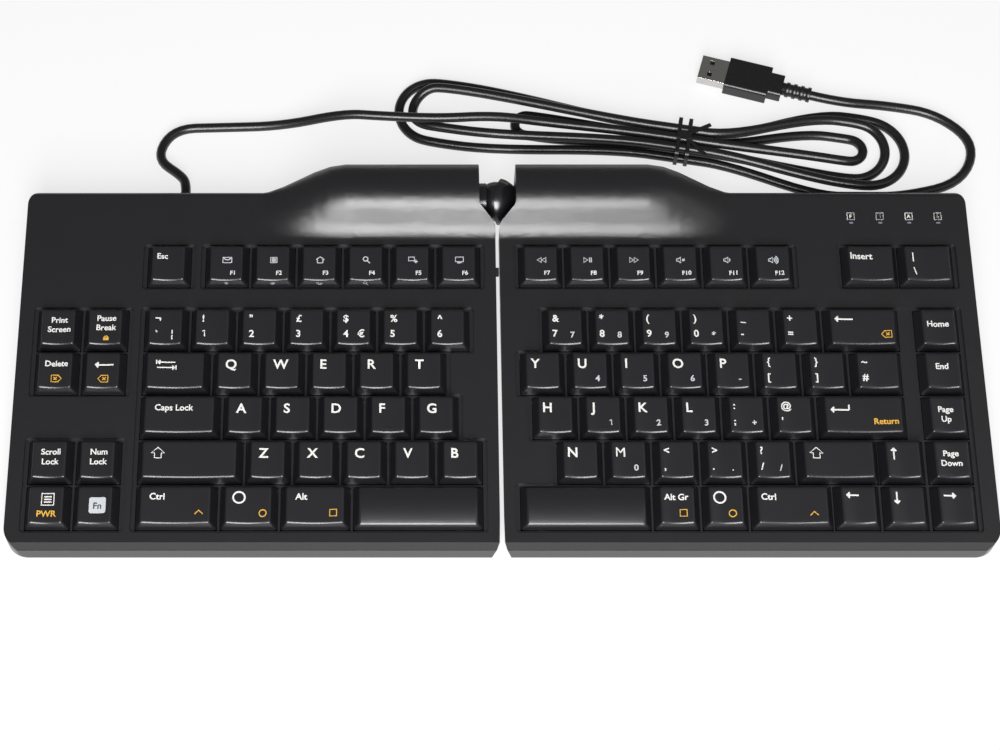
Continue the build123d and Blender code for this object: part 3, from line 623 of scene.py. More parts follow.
# %% Left half's keys
left_grid = -144.8
nav_left = -178.7 - pitch / 2
left_rows = {
    "key_esc": [("F", left_grid, [1.0])],
    "keys_f1_f6": [("F", left_grid + 1.25 * pitch, [1.0] * 6)],
    "keys_nav_upper": [("D", nav_left, [1.0, 1.0]), ("Q", nav_left, [1.0, 1.0])],
    "keys_nav_lower": [("Z", nav_left, [1.0, 1.0]), ("C", nav_left, [1.0, 1.0])],
    "keys_left_numbers": [("D", left_grid, [1.0] * 7)],
    "keys_left_q_row": [("Q", left_grid, [1.5] + [1.0] * 5)],
    "keys_left_a_row": [("A", left_grid, [1.75] + [1.0] * 5)],
    "key_left_shift": [("Z", left_grid, [2.25])],
    "keys_left_z_row": [("Z", left_grid + 2.25 * pitch, [1.0] * 5)],
    "keys_left_modifiers": [("C", left_grid, [1.75, 1.25, 1.5])],
    "key_left_space": [("C", left_grid + 4.5 * pitch, [2.75])],
}
print("left blocks", len(left_rows))

# %% Right half's keys
right_nav = 178.1 - pitch / 2
right_rows = {
    "keys_f7_f12": [("F", 7.9, [1.0] * 6)],
    "keys_insert_slash": [("F", 141.0, [1.25]), ("F", 164.3, [1.25])],
    "keys_right_numbers": [("D", 17.2, [1.0] * 6)],
    "key_backspace": [("D", 17.2 + 6 * pitch, [1.67])],
    "keys_right_y_row": [("Q", 7.67, [1.0] * 7)],
    "key_hash": [("Q", 7.67 + 7 * pitch, [1.15])],
    "keys_right_h_row": [("A", 12.3, [1.0] * 6)],
    "key_return": [("A", 12.3 + 6 * pitch, [1.91])],
    "keys_right_n_row": [("Z", 21.7, [1.0] * 5)],
    "key_right_shift": [("Z", 21.7 + 5 * pitch, [1.74])],
    "key_right_space": [("C", 6.8, [2.75])],
    "keys_right_modifiers": [("C", 59.2, [1.0, 1.0, 1.75])],
    "keys_arrows": [("C", 130.3, [1.0, 1.0]), ("Z", 149.4, [1.0])],
    "keys_nav_column": [(row, right_nav, [1.0]) for row in "DQAZC"],
}


def spread(rows):
    """Each key of a block as its row, centre and width in millimetres."""
    keys = []
    for row, edge, units in rows:
        for unit in units:
            width = unit * pitch
            keys.append((row, edge + width / 2, width))
            edge += width
    return keys


blocks = {name: spread(rows) for name, rows in (left_rows | right_rows).items()}
print("keys", sum(len(keys) for keys in blocks.values()))

# %% Cap sizes
cap_gap = 1.45
cap_depth = 17.8
cap_top_margin = 6.2
cap_top_depth = 15.0
cap_front_slope = 1.2
cap_rise = 4.6
cap_skirt_drop = 0.9
cap_wall = 1.2
cap_hollow = 2.4
cap_edge = 0.8
dish_depth = 0.85
wide_from = 1.6 * pitch
wide_dish_share = 0.8
space_from = 2.5 * pitch
space_rise = 4.0
space_crown = 1.25


def full_rise(width):
    """The highest level of a cap's top above the deck."""
    return space_rise if width > space_from else cap_rise


def top_height(width, x, v):
    """Height of a cap's top above the deck: a trough across, or a space bar's crown."""
    top = width - cap_top_margin
    if width > space_from:
        share = 2 * v / cap_top_depth - 1
        return space_rise - space_crown * share * share
    share = min(1, abs(2 * x / top))
    depth = dish_depth if width < wide_from else wide_dish_share * dish_depth
    return cap_rise - depth * (1 - share * share)


print("cap height at its middle", round(top_height(pitch, 0, cap_top_depth / 2), 2), "mm")

# %% [markdown]
# ## One cap
# The cap starts as a small grid for its top, because the trough is then only a height for each
# point. Its rim is extruded down and out to the skirt, then inwards for the wall and up to a
# roof, and the rim and the four standing edges are bevelled. The front and back faces lean, so
# where the trough is deep the rim also moves outwards along them.
# %% Top of a cap
grid_step = 3.0


def cap_top(bm, width):
    """Adds the dished top, with its front edge at zero, and gives back its rim."""
    top = width - cap_top_margin
    rise = full_rise(width)
    columns = max(8, round(top / grid_step))
    grid = bmesh.ops.create_grid(bm, x_segments=columns, y_segments=8, size=0.5)["verts"]
    lean = cap_front_slope / (rise + cap_skirt_drop)
    back_lean = (cap_depth - cap_front_slope - cap_top_depth) / (rise + cap_skirt_drop)
    for vert in grid:
        x = vert.co.x * top
        v = (vert.co.y + 0.5) * cap_top_depth
        height = top_height(width, x, v)
        drop = rise - height
        share = v / cap_top_depth
        v += -drop * lean * (1 - share) + drop * back_lean * share
        vert.co = (x, v, height)
    return [edge for edge in bm.edges if edge.is_boundary]


trial = bmesh.new()
print("edges round the top of a narrow cap", len(cap_top(trial, pitch)))
trial.free()

# %% Walls and hollow of a cap
near = 0.01
end_share = 0.49
standing_height = 1.0


def fresh(made, kind):
    """The vertices or edges that an extrusion made."""
    return [item for item in made["geom"] if isinstance(item, kind)]


def open_edges(made):
    """Those of its edges that have a face on one side only."""
    return [edge for edge in fresh(made, bmesh.types.BMEdge) if edge.is_boundary]


def cap_walls(bm, rim, width):
    """Leaning walls from the rim to the skirt; gives back them and their corner edges."""
    skirt = width - cap_gap
    front, back = -cap_front_slope, cap_depth - cap_front_slope
    walls = bmesh.ops.extrude_edge_only(bm, edges=rim)
    low = fresh(walls, bmesh.types.BMVert)
    for vert in low:
        vert.co.x *= skirt / (width - cap_top_margin)
        share = min(1, max(0, vert.co.y / cap_top_depth))
        if abs(share - 0.5) >= end_share:
            share = round(share)
        vert.co.y = share * cap_depth - cap_front_slope
        vert.co.z = -cap_skirt_drop
    corners = [
        edge for vert in low for edge in vert.link_edges
        if abs(edge.verts[0].co.z - edge.verts[1].co.z) > standing_height
        and abs(abs(vert.co.x) - skirt / 2) < near
        and min(abs(vert.co.y - front), abs(vert.co.y - back)) < near
    ]
    return walls, corners


def cap_inside(bm, walls, width):
    """The wall's thickness at the skirt, and a roof over the hollow."""
    skirt = width - cap_gap
    middle = cap_depth / 2 - cap_front_slope
    lip = bmesh.ops.extrude_edge_only(bm, edges=open_edges(walls))
    for vert in fresh(lip, bmesh.types.BMVert):
        vert.co.x *= 1 - 2 * cap_wall / skirt
        vert.co.y = middle + (vert.co.y - middle) * (1 - 2 * cap_wall / cap_depth)
    roof = bmesh.ops.extrude_edge_only(bm, edges=open_edges(lip))
    for vert in fresh(roof, bmesh.types.BMVert):
        vert.co.x *= 1 - cap_wall / skirt
        vert.co.z += cap_hollow
    bmesh.ops.edgeloop_fill(bm, edges=open_edges(roof))


trial = bmesh.new()
walls, corners = cap_walls(trial, cap_top(trial, pitch), pitch)
cap_inside(trial, walls, pitch)
print("faces of a narrow cap", len(trial.faces), "with", len(corners), "standing edges")
trial.free()

# %% All caps
def make_caps(name, keys):
    """All caps of one node as one mesh."""
    mesh = bpy.data.meshes.new(name)
    joined = bmesh.new()
    for row, centre, width in keys:
        bm = bmesh.new()
        rim = cap_top(bm, width)
        walls, corners = cap_walls(bm, rim, width)
        cap_inside(bm, walls, width)
        rounded(bm, rim + corners, cap_edge, 3)
        bmesh.ops.recalc_face_normals(bm, faces=bm.faces)
        bmesh.ops.transform(bm, matrix=on_deck(row, centre), verts=bm.verts)
        pour(bm, joined, mesh)
    joined.to_mesh(mesh)
    joined.free()
    return mesh


cap_total = 0
for name, keys in blocks.items():
    cap_mesh = make_caps(name, keys)
    caps = piece(name + "_caps", cap_mesh, key_plastic, name + "_body", [name])
    even_shading(caps)
    cap_total += len(cap_mesh.polygons)
print("cap faces", cap_total)

# %% [markdown]
# ## Printed legends
# The letters are pad-printed in opaque ink on the finished caps. Text objects give the glyphs, and
# the small signs are strokes: a curve with a round section, pressed nearly flat, keeps an even
# line and its round ends. Both become meshes, are cut across the trough so that they can bend,
# and are laid on the cap's own height with a hair's breadth of ink.
# %% Inks and strokes
white, grey, gold, dark = range(4)
ink_film = 0.03
cap_height_share = 0.73
bold_share = 0.03
same_point = 0.001
arc_step = 24


def text_mesh(words, height):
    """Flat letters with their lower left corner at zero, in millimetres."""
    text = bpy.data.curves.new("legend", "FONT")
    text.body = words
    text.size = height / cap_height_share
    text.offset = 0 if "M" in words else bold_share * height
    text.resolution_u = 4
    return read_mesh(bpy.data.objects.new("legend", text))


def stroke_mesh(lines, width):
    """Strokes along lines of points, pressed flat; a line that ends where it starts is closed."""
    curve = bpy.data.curves.new("stroke", "CURVE")
    curve.dimensions = "3D"
    curve.bevel_depth = width / 2
    curve.bevel_resolution = 1
    curve.use_fill_caps = True
    for line in lines:
        closed = math.dist(line[0], line[-1]) < same_point
        points = line[:-1] if closed else line
        spline = curve.splines.new("POLY")
        spline.points.add(len(points) - 1)
        for control, point in zip(spline.points, points):
            control.co = (*point, 0, 1)
        spline.use_cyclic_u = closed
    mesh = read_mesh(bpy.data.objects.new("stroke", curve))
    mesh.transform(Matrix.Diagonal((1, 1, ink_film / width, 1)))
    return mesh


def arc(centre, radius, start=0, end=360):
    """Points round a circle or a part of it."""
    steps = max(4, round(abs(end - start) / arc_step))
    points = []
    for i in range(steps + 1):
        turn = math.radians(start + (end - start) * i / steps)
        points.append((centre[0] + radius * math.cos(turn), centre[1] + radius * math.sin(turn)))
    return points


def box_line(width, height, centre=(0, 0)):
    """A closed rectangle."""
    x, y = width / 2, height / 2
    corners = [(-x, -y), (x, -y), (x, y), (-x, y), (-x, -y)]
    return [(centre[0] + a, centre[1] + b) for a, b in corners]


def turned(lines, angle):
    """The same lines, turned round zero."""
    turn = math.radians(angle)
    c, s = math.cos(turn), math.sin(turn)
    return [[(x * c - y * s, x * s + y * c) for x, y in line] for line in lines]


def moved(lines, dx, dy):
    """The same lines at another place."""
    return [[(x + dx, y + dy) for x, y in line] for line in lines]


print("points on a full ring", len(arc((0, 0), 1)))

# %% Parts of signs
def arrow(length, head):
    """Arrow to the left with a full head: its strokes are closer than they are wide."""
    tip = -length / 2
    lines = [[(tip + head, 0), (length / 2, 0)]]
    for spread_y in (head, 0.6 * head, 0.2 * head):
        lines.append([(tip + head * 1.3, spread_y), (tip + 0.2, 0), (tip + head * 1.3, -spread_y)])
    return lines


def sound(waves):
    """A loudspeaker with its waves."""
    cone = [(-0.9, 0.5), (0.1, 1.3), (0.1, -1.3), (-0.9, -0.5)]
    body = [(-1.6, 0.5)] + cone + [(-1.6, -0.5), (-1.6, 0.5)]
    return [body] + [arc((0, 0), 0.9 + 0.7 * wave, -50, 50) for wave in range(waves)]


def delete_box(point_right):
    """A five-sided tag with a cross in it."""
    side = 1 if point_right else -1
    outline = [(-1.9, 1.45), (0.8, 1.45), (2.1, 0), (0.8, -1.45), (-1.9, -1.45), (-1.9, 1.45)]
    cross = [[(-1.0, 0.6), (0.3, -0.6)], [(-1.0, -0.6), (0.3, 0.6)]]
    return [[(side * x, y) for x, y in line] for line in [outline] + cross]


print("strokes of a short arrow", len(arrow(5.0, 1.1)))

# %% Signs of the function keys
signs = {}
triangle = [(0, 1.1), (1.7, 0), (0, -1.1), (0, 1.1)]
signs["forward"] = [triangle] + moved([triangle], -1.9, 0)
signs["rewind"] = turned(signs["forward"], 180)
signs["play"] = moved([triangle], -1.7, 0) + [[(0.7, 1.1), (0.7, -1.1)], [(1.4, 1.1), (1.4, -1.1)]]
signs["mute"] = sound(0) + [[(0.8, 0.5), (1.7, -0.5)], [(0.8, -0.5), (1.7, 0.5)]]
signs["quiet"] = sound(1)
signs["loud"] = sound(3)
signs["mail"] = [box_line(3.6, 2.4), [(-1.5, 0.9), (-0.5, 0.1), (0.5, 0.1), (1.5, 0.9)]]
signs["list"] = [box_line(2.6, 2.4)] + [[(-0.8, y), (0.8, y)] for y in (-0.55, 0, 0.55)]
roof = [(-1.7, 0.1), (0, 1.5), (1.7, 0.1)]
signs["home"] = [roof, [(-1.1, 0.2), (-1.1, -1.3), (1.1, -1.3), (1.1, 0.2)]]
signs["search"] = [arc((-0.4, 0.5), 0.95), [(0.3, -0.3), (1.4, -1.5)]]
plus = [[(0.4, -0.7), (2.0, -0.7)], [(1.2, 0.1), (1.2, -1.5)]]
signs["share"] = [box_line(2.4, 1.7, (-0.6, 0.5))] + plus
signs["screen"] = [box_line(3.2, 2.1, (0, 0.3)), [(-0.9, -1.25), (0.9, -1.25)]]
signs["dim"] = [arc((0, 0), 0.35), arc((0, 0), 0.75)]
rays_out = [[(0.9 * c, 0.9 * s), (1.25 * c, 1.25 * s)] for c, s in arc((0, 0), 1)[::2]]
signs["bright"] = [arc((0, 0), 0.3), arc((0, 0), 0.6)] + rays_out
signs["chain"] = [arc((-0.9, 0.3), 0.6), arc((0.1, -0.5), 0.6), arc((1.2, -0.1), 0.5)]
print("signs of the function keys", len(signs))

# %% Signs of the other keys
signs["long_left"] = arrow(7.5, 1.1)
signs["left"] = arrow(5.0, 1.1)
signs["right"] = turned(signs["left"], 180)
signs["down"] = turned(signs["left"], 90)
signs["up"] = turned(signs["left"], 270)
arrow_shaft = [(-1.3, -0.1), (-1.3, -2.2), (1.3, -2.2), (1.3, -0.1)]
arrow_head = [(2.6, -0.1), (0, 2.3), (-2.6, -0.1), (-1.3, -0.1)]
signs["shift"] = [arrow_shaft + arrow_head]
signs["return"] = moved(arrow(7.5, 1.1), 0, -0.9) + [[(3.75, -0.9), (3.75, 1.3)]]
tab_line = arrow(7.2, 0.9) + [[(-3.9, -0.9), (-3.9, 0.9)]]
signs["tab"] = moved(tab_line, 0, 1.15) + moved(turned(tab_line, 180), 0, -1.15)
signs["erase_right"] = delete_box(True)
signs["erase_left"] = delete_box(False)
signs["caret"] = [[(-1.6, -0.8), (0, 0.8), (1.6, -0.8)]]
signs["ring"] = [arc((0, 0), 2.3)]
signs["small_ring"] = [arc((0, 0), 1.4)]
signs["small_box"] = [box_line(2.7, 2.7)]
signs["menu"] = [box_line(4.8, 4.8)] + [[(-1.5, y), (1.5, y)] for y in (-1.1, 0, 1.1)]
signs["lock"] = [[(-1.1, y), (1.1, y)] for y in (-1.0, -0.6, -0.2)] + [arc((0, -0.1), 0.75, 0, 180)]
thin_stroke = 0.5
stroke_width = {what: 0.75 for what in ("long_left", "left", "right", "up", "down", "return")}
stroke_width |= {"shift": 0.55, "tab": 0.6, "ring": 0.8, "menu": 0.6}
print("signs", len(signs))

# %% [markdown]
# ## Which sign stands where
# The tables below say what each key shows, in the order of its block. A place is a distance from
# the left or right edge of the cap's top, or from its middle, and a distance from its front edge.
# Each entry reads: what, measured from where, how far, how far back, letter height, ink. A sign
# has its own size, so its height is zero. Plain rings and boxes mark the system keys.
# %% Helpers for the tables
def letters(row, offset, v):
    """One letter on each key of a row."""
    return [[(letter, "left", offset, v, 4.1, white)] for letter in row]


def pairs(lower, upper, offset):
    """Two signs on each key, one above the other."""
    return [
        [(low, "left", offset, 4.7, 3.1, white), (high, "left", offset, 11.4, 3.1, white)]
        for low, high in zip(lower, upper)
    ]


def second_layer(keys, row):
    """Adds the small grey signs of the number pad that shares the letter keys."""
    for key, sign in zip(keys, row):
        if sign != " ":
            key.append((sign, "centre", 2.9, 4.2, 2.6, grey))
    return keys


def two_lines(words, dx, v):
    """A word above another, both centred."""
    over, under = words.split()
    return [(over, "centre", dx, v, 2.5, white), (under, "centre", dx, v - 4.1, 2.5, white)]


def function_keys(icons, number):
    """An icon in the middle of each key and its number at the lower right."""
    keys = []
    for icon in icons:
        label = "F" + str(number)
        keys.append([(icon, "centre", 0.3, 9.1, 0, grey), (label, "centre", 2.6, 3.3, 1.9, white)])
        number += 1
    return keys


print("inks", white, grey, gold, dark)


# %% Left half's legends
caps_lock = [("Caps Lock", "left", 3.8, 10.6, 2.6, white)]
legends = {
    "key_esc": [[("Esc", "left", 1.8, 10.9, 2.5, white)]],
    "keys_f1_f6": function_keys(["mail", "list", "home", "search", "share", "screen"], 1),
    "keys_left_numbers": pairs("`123456", "¬!\"£$%^", 2.3),
    "keys_left_q_row": [[("tab", "left", 3.3, 10.0, 0, white)]] + letters("QWERT", 2.8, 10.4),
    "keys_left_a_row": [caps_lock] + letters("ASDFG", 2.8, 10.4),
    "key_left_shift": [[("shift", "left", 3.0, 10.3, 0, white)]],
    "keys_left_z_row": letters("ZXCVB", 2.8, 10.4),
}
legends["keys_left_numbers"][0].append(("¦", "centre", 2.8, 4.7, 3.1, white))
legends["keys_left_numbers"][4].append(("€", "centre", 3.1, 4.7, 3.3, white))
legends["keys_nav_upper"] = [
    two_lines("Print Screen", 0.5, 10.7),
    two_lines("Pause Break", 0.5, 11.5) + [("lock", "centre", 0.5, 3.0, 0, gold)],
    [("Delete", "centre", 0.4, 10.6, 2.5, white), ("erase_right", "centre", 0.6, 4.1, 0, gold)],
    [("long_left", "centre", 0.4, 10.0, 0, white), ("erase_left", "centre", 0.2, 4.0, 0, gold)],
]
legends["keys_nav_lower"] = [
    two_lines("Scroll Lock", 0.5, 10.9),
    two_lines("Num Lock", 0.5, 10.9),
    [("menu", "centre", 0.5, 10.0, 0, white), ("PWR", "centre", 0.3, 4.1, 2.6, gold)],
    [("plate", "centre", 1.0, 7.5, 0, grey), ("Fn", "centre", 1.0, 7.4, 2.7, dark)],
]
legends["keys_left_modifiers"] = [
    [("Ctrl", "left", 3.4, 11.2, 2.7, white), ("caret", "right", 2.5, 4.6, 0, gold)],
    [("ring", "left", 2.5, 10.8, 0, white), ("small_ring", "right", 1.4, 4.2, 0, gold)],
    [("Alt", "left", 3.4, 11.2, 2.7, white), ("small_box", "right", 2.5, 4.4, 0, gold)],
]
print("left blocks with legends", len(legends))

# %% Right half's legends
legends["keys_f7_f12"] = function_keys(["rewind", "play", "forward", "mute", "quiet", "loud"], 7)
legends["keys_insert_slash"] = [
    [("Insert", "left", 0.5, 10.9, 2.9, white)],
    [("|", "left", 2.7, 10.9, 3.1, white), ("\\", "left", 2.7, 4.2, 3.1, white)],
]
legends["keys_right_numbers"] = second_layer(pairs("7890-=", "&*()_+", 1.2), "789*  ")
legends["key_backspace"] = [
    [("long_left", "left", 1.2, 10.9, 0, white), ("erase_left", "right", 1.4, 4.3, 0, gold)],
]
brackets = pairs("[]", "{}", 1.4)
legends["keys_right_y_row"] = second_layer(letters("YUIOP", 1.5, 10.7), " 456-") + brackets
legends["key_hash"] = pairs("#", "~", 1.2)
marks = pairs(";'", ":@", 1.2)
legends["keys_right_h_row"] = second_layer(letters("HJKL", 1.5, 10.7) + marks, " 123+ ")
legends["key_return"] = [
    [("return", "left", 1.6, 10.4, 0, white), ("Return", "right", 1.6, 4.7, 2.6, gold)],
]
stops = pairs(",./", "<>?", 1.3)
legends["keys_right_n_row"] = second_layer(letters("NM", 1.5, 10.7) + stops, " 0 ./")
legends["key_right_shift"] = [[("shift", "left", 1.7, 10.3, 0, white)]]
legends["keys_right_modifiers"] = [
    [("Alt Gr", "left", 1.2, 11.0, 2.6, white), ("small_box", "centre", 2.2, 4.4, 0, gold)],
    [("ring", "left", 1.4, 10.8, 0, white), ("small_ring", "centre", 2.4, 4.2, 0, gold)],
    [("Ctrl", "left", 1.2, 11.0, 2.7, white), ("caret", "right", 3.7, 4.1, 0, gold)],
]
legends["keys_arrows"] = [
    [("left", "centre", -2.4, 11.7, 0, white)],
    [("down", "centre", -4.0, 10.5, 0, white)],
    [("up", "centre", -3.7, 10.0, 0, white)],
]
legends["keys_nav_column"] = [
    [("Home", "centre", -0.3, 9.0, 2.6, white)],
    [("End", "centre", -0.3, 9.5, 2.6, white)],
    two_lines("Page Up", -0.6, 9.9),
    two_lines("Page Down", -0.3, 10.2),
    [("right", "centre", -2.3, 11.5, 0, white)],
]
front_signs = {"keys_f1_f6": ["dim", "bright", "chain", "search"]}
print("legends", sum(len(printed) for keys in legends.values() for printed in keys))

# %% Flat meshes of the legends
plate_size = (6.6, 6.6)
plate_corner = 0.9
digit_stroke = 0.17
made_legends = {}


def plate_mesh():
    """A filled square with round corners, on which dark letters stand."""
    bm = bmesh.new()
    bmesh.ops.create_grid(bm, x_segments=1, y_segments=1, size=0.5)
    bmesh.ops.scale(bm, vec=(*plate_size, 1), verts=bm.verts)
    rounded(bm, bm.verts[:], plate_corner, 4, affect="VERTICES")
    mesh = bpy.data.meshes.new("plate")
    bm.to_mesh(mesh)
    bm.free()
    return mesh


def draw_legend(what, height):
    """The flat mesh of a sign or a word; the digit one is drawn, for the font's has no flag."""
    if what == "plate":
        return plate_mesh()
    if what == "1":
        flag = [(-0.24 * height, 0.3 * height), (0.06 * height, 0.44 * height)]
        return stroke_mesh([flag + [(0.06 * height, -0.44 * height)]], digit_stroke * height)
    if what in signs:
        return stroke_mesh(signs[what], stroke_width.get(what, thin_stroke))
    mesh = text_mesh(what, height)
    mesh.transform(Matrix.Translation((0, -height / 2, 0)))
    return mesh


def legend_mesh(what, height):
    """A legend with zero at half its height, drawn once however often it is used."""
    key = (what, height)
    if key not in made_legends:
        made_legends[key] = draw_legend(what, height)
        if not made_legends[key].vertices:
            raise ValueError("no glyph for " + what)
    return made_legends[key]


def reach_of(mesh):
    """Least and greatest x of a flat mesh."""
    across = [vert.co.x for vert in mesh.vertices]
    return min(across), max(across)


print("width of a letter E", round(reach_of(legend_mesh("E", 4.1))[1], 2), "mm")

# %% Laying the ink
drape_step = 1.2
front_sign_level = 1.9
front_sign_scale = 0.75
inks = [white_ink, grey_ink, gold_ink, dark_ink]


def ink_bmesh(mesh, dx, v, index):
    """A copy of a flat mesh at a place, cut into strips that can follow the trough."""
    bm = bmesh.new()
    bm.from_mesh(mesh)
    bmesh.ops.translate(bm, vec=(dx, v, 0), verts=bm.verts)
    across = sorted(vert.co.x for vert in bm.verts)
    cut = across[0] + drape_step
    while cut < across[-1]:
        geometry = bm.verts[:] + bm.edges[:] + bm.faces[:]
        bmesh.ops.bisect_plane(bm, geom=geometry, plane_co=(cut, 0, 0), plane_no=(1, 0, 0))
        cut += drape_step
    for face in bm.faces:
        face.material_index = index
    return bm


def on_top(legend, width):
    """Lays one legend on a cap's top; dark ink lies on the plate's white."""
    what, anchor, x, v, height, index = legend
    mesh = legend_mesh(what, height)
    left, right = reach_of(mesh)
    half = (width - cap_top_margin) / 2
    starts = {"left": x - half - left, "centre": x - (left + right) / 2, "right": half - x - right}
    bm = ink_bmesh(mesh, starts[anchor], v, index)
    lift = 2 * ink_film if index == dark else ink_film
    for vert in bm.verts:
        vert.co.z += top_height(width, vert.co.x, vert.co.y) + lift
    return bm


def on_front(what):
    """Stands a small sign on a cap's leaning front face."""
    bm = ink_bmesh(legend_mesh(what, 0), 0, 0, grey)
    lean = cap_front_slope / (cap_rise + cap_skirt_drop)
    for vert in bm.verts:
        z = front_sign_level + front_sign_scale * vert.co.y
        vert.co = (front_sign_scale * vert.co.x, (z - cap_rise) * lean - ink_film, z)
    return bm


print("ink film", ink_film, "mm thick, laid in strips", drape_step, "mm wide")

# %% Printing all keys
def print_block(name):
    """All legends of one node as one mesh, and the inks that it uses."""
    joined = bmesh.new()
    mesh = bpy.data.meshes.new(name + "_ink")
    fronts = front_signs.get(name, [])
    for place, (row, centre, width) in enumerate(blocks[name]):
        printed = [on_top(legend, width) for legend in legends[name][place]]
        printed += [on_front(what) for what in fronts[place:place + 1]]
        for bm in printed:
            bmesh.ops.transform(bm, matrix=on_deck(row, centre), verts=bm.verts)
            pour(bm, joined, mesh)
    used = sorted({face.material_index for face in joined.faces})
    for face in joined.faces:
        face.material_index = used.index(face.material_index)
    joined.to_mesh(mesh)
    joined.free()
    return mesh, [inks[index] for index in used]


ink_faces = 0
for name in legends:
    mesh, used_inks = print_block(name)
    piece(name + "_legends", mesh, used_inks, name + "_body", smooth_angle=0)
    ink_faces += len(mesh.polygons)
print("ink faces", ink_faces)

# %% [markdown]
# ## Home bars
# The index fingers find their keys by a small raised bar near the front edge of two caps. It is
# part of the cap's moulding, so it is a short round wire half sunk in the top, in the cap's own
# plastic.
# %% Bars on two keys
home_keys = {"keys_left_a_row": 4, "keys_right_h_row": 1}
home_bar = [[(-1.9, 0), (1.9, 0)]]
home_bar_width = 0.55
home_bar_place = 1.6
home_bar_lift = 0.15 * home_bar_width
for name, place in home_keys.items():
    row, centre, width = blocks[name][place]
    bar = stroke_mesh(home_bar, home_bar_width)
    bar.transform(Matrix.Diagonal((1, 1, home_bar_width / ink_film, 1)))
    bar_level = top_height(width, 0, home_bar_place) + home_bar_lift
    bar.transform(Matrix.Translation((0, home_bar_place, bar_level)))
    bar.transform(on_deck(row, centre))
    piece(name + "_home_bar", bar, key_plastic, name + "_body")
print("home bars", len(home_keys), "at", round(bar_level, 2), "mm")

# %% [markdown]
# ## Status signs on the hump
# Four small signs beside the indicator lights are printed on the curved cover. Each point of the
# flat sign is dropped straight down onto the cover, as a pad presses ink onto a curved wall.
# %% Status signs
light_places = [147.1, 159.2, 171.2, 183.3]
status_row = 97.6
status_height = 1.7
drop_from = 0.2
signs["frame"] = [box_line(2.9, 3.1)]
signs["drop"] = [[(0, 0.8), (0, -0.2)], [(-0.45, -0.1), (0, -0.75), (0.45, -0.1)]]
stroke_width["frame"] = 0.6
cover_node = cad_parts["right_top_cover"]
bpy.context.view_layer.update()


def on_cover(mesh, x):
    """Drops a flat sign onto the cover."""
    left, right = reach_of(mesh)
    bm = ink_bmesh(mesh, x - (left + right) / 2, status_row, white)
    bmesh.ops.transform(bm, matrix=deck @ Matrix.Scale(mm, 4), verts=bm.verts)
    for vert in bm.verts:
        hit = cover_node.ray_cast((vert.co.x, vert.co.y, drop_from), (0, 0, -1))[1]
        vert.co.z = hit.z + ink_film * mm
    return bm


status = bmesh.new()
status_mesh = bpy.data.meshes.new("status_signs")
for x, what in zip(light_places, ["F", "1", "A", "drop"]):
    pour(on_cover(legend_mesh("frame", 0), x), status, status_mesh)
    height = 0 if what in signs else status_height
    pour(on_cover(legend_mesh(what, height), x), status, status_mesh)
status.to_mesh(status_mesh)
status.free()
piece("status_signs", status_mesh, white_ink, "right_half", smooth_angle=0)
print("status faces", len(status_mesh.polygons))

# %% [markdown]
# ## Covers and trays
# The moulded covers already have their windows, pockets and hump in CAD, but their edges are
# sharp as a razor, and a sharp edge never catches light. A merged copy gets its flat triangles
# dissolved into whole faces, so that the bevel can run evenly along each real edge.
# %% Broken edges
weld = 0.01 * mm
flat_angle = math.radians(0.6)
sharp_angle = math.radians(32)


def broken_edges(node, width):
    """A merged copy of a CAD mesh with its sharp edges bevelled."""
    bm = bmesh.new()
    bm.from_mesh(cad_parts[node].data)
    bmesh.ops.remove_doubles(bm, verts=bm.verts, dist=weld)
    bmesh.ops.dissolve_limit(
        bm, angle_limit=flat_angle, verts=bm.verts, edges=bm.edges, use_dissolve_boundaries=False,
    )
    sharp = [
        edge for edge in bm.edges
        if len(edge.link_faces) == 2 and edge.calc_face_angle() > sharp_angle
    ]
    rounded(bm, sharp, width * mm, 2)
    print(node, "edges bevelled", len(sharp), "faces", len(bm.faces))
    return finish_mesh(bm, node)


for side in ("left", "right"):
    for part, material, width in (("top_cover", case_plastic, 0.3), ("base", base_plastic, 0.25)):
        node = side + "_" + part
        shell = broken_edges(node, width)
        cover = piece(node + "_shell", shell, material, side + "_half", [node])
        even_shading(cover)

# %% [markdown]
# ## The ball joint
# The joint is turned round one axis: a smooth collar, the ball on its hollow neck, and a cup whose
# lip is cut at a slant. Each is a profile spun round that axis. The cup is then cut by the lip's
# plane, its two open rims are bridged, and the new edge is broken like any moulded edge.
# %% Spinning a profile
ball_centre = Vector((0, 73.0, 12.0))
ball_radius = 8.4
bore_radius = 1.7
spin_steps = 72
least_width = 0.001 * mm


def arc_points(radius, first, last, count):
    """Points (along the axis, away from it) on a circle round the ball's centre."""
    angles = [math.radians(first + (last - first) * i / count) for i in range(count + 1)]
    return [(radius * math.cos(a), radius * math.sin(a)) for a in angles]


def angle_at(radius, distance):
    """Angle from the axis at which a sphere has a given distance from the axis."""
    return math.degrees(math.asin(distance / radius))


def spun(profile, axis, centre):
    """A closed profile of (along, away) points spun round an axis, in metres."""
    bm = bmesh.new()
    away = Vector((0, 0, 1))
    along = Vector(axis)
    verts = [bm.verts.new((Vector(centre) + along * a + away * r) * mm) for a, r in profile]
    edges = [bm.edges.new(pair) for pair in zip(verts, verts[1:] + verts[:1])]
    bmesh.ops.spin(
        bm, geom=verts + edges, cent=Vector(centre) * mm, axis=along, angle=math.tau,
        steps=spin_steps, use_merge=True,
    )
    bmesh.ops.remove_doubles(bm, verts=bm.verts, dist=least_width)
    return bm


print("the bore leaves the ball at", round(angle_at(ball_radius, bore_radius), 1), "degrees")

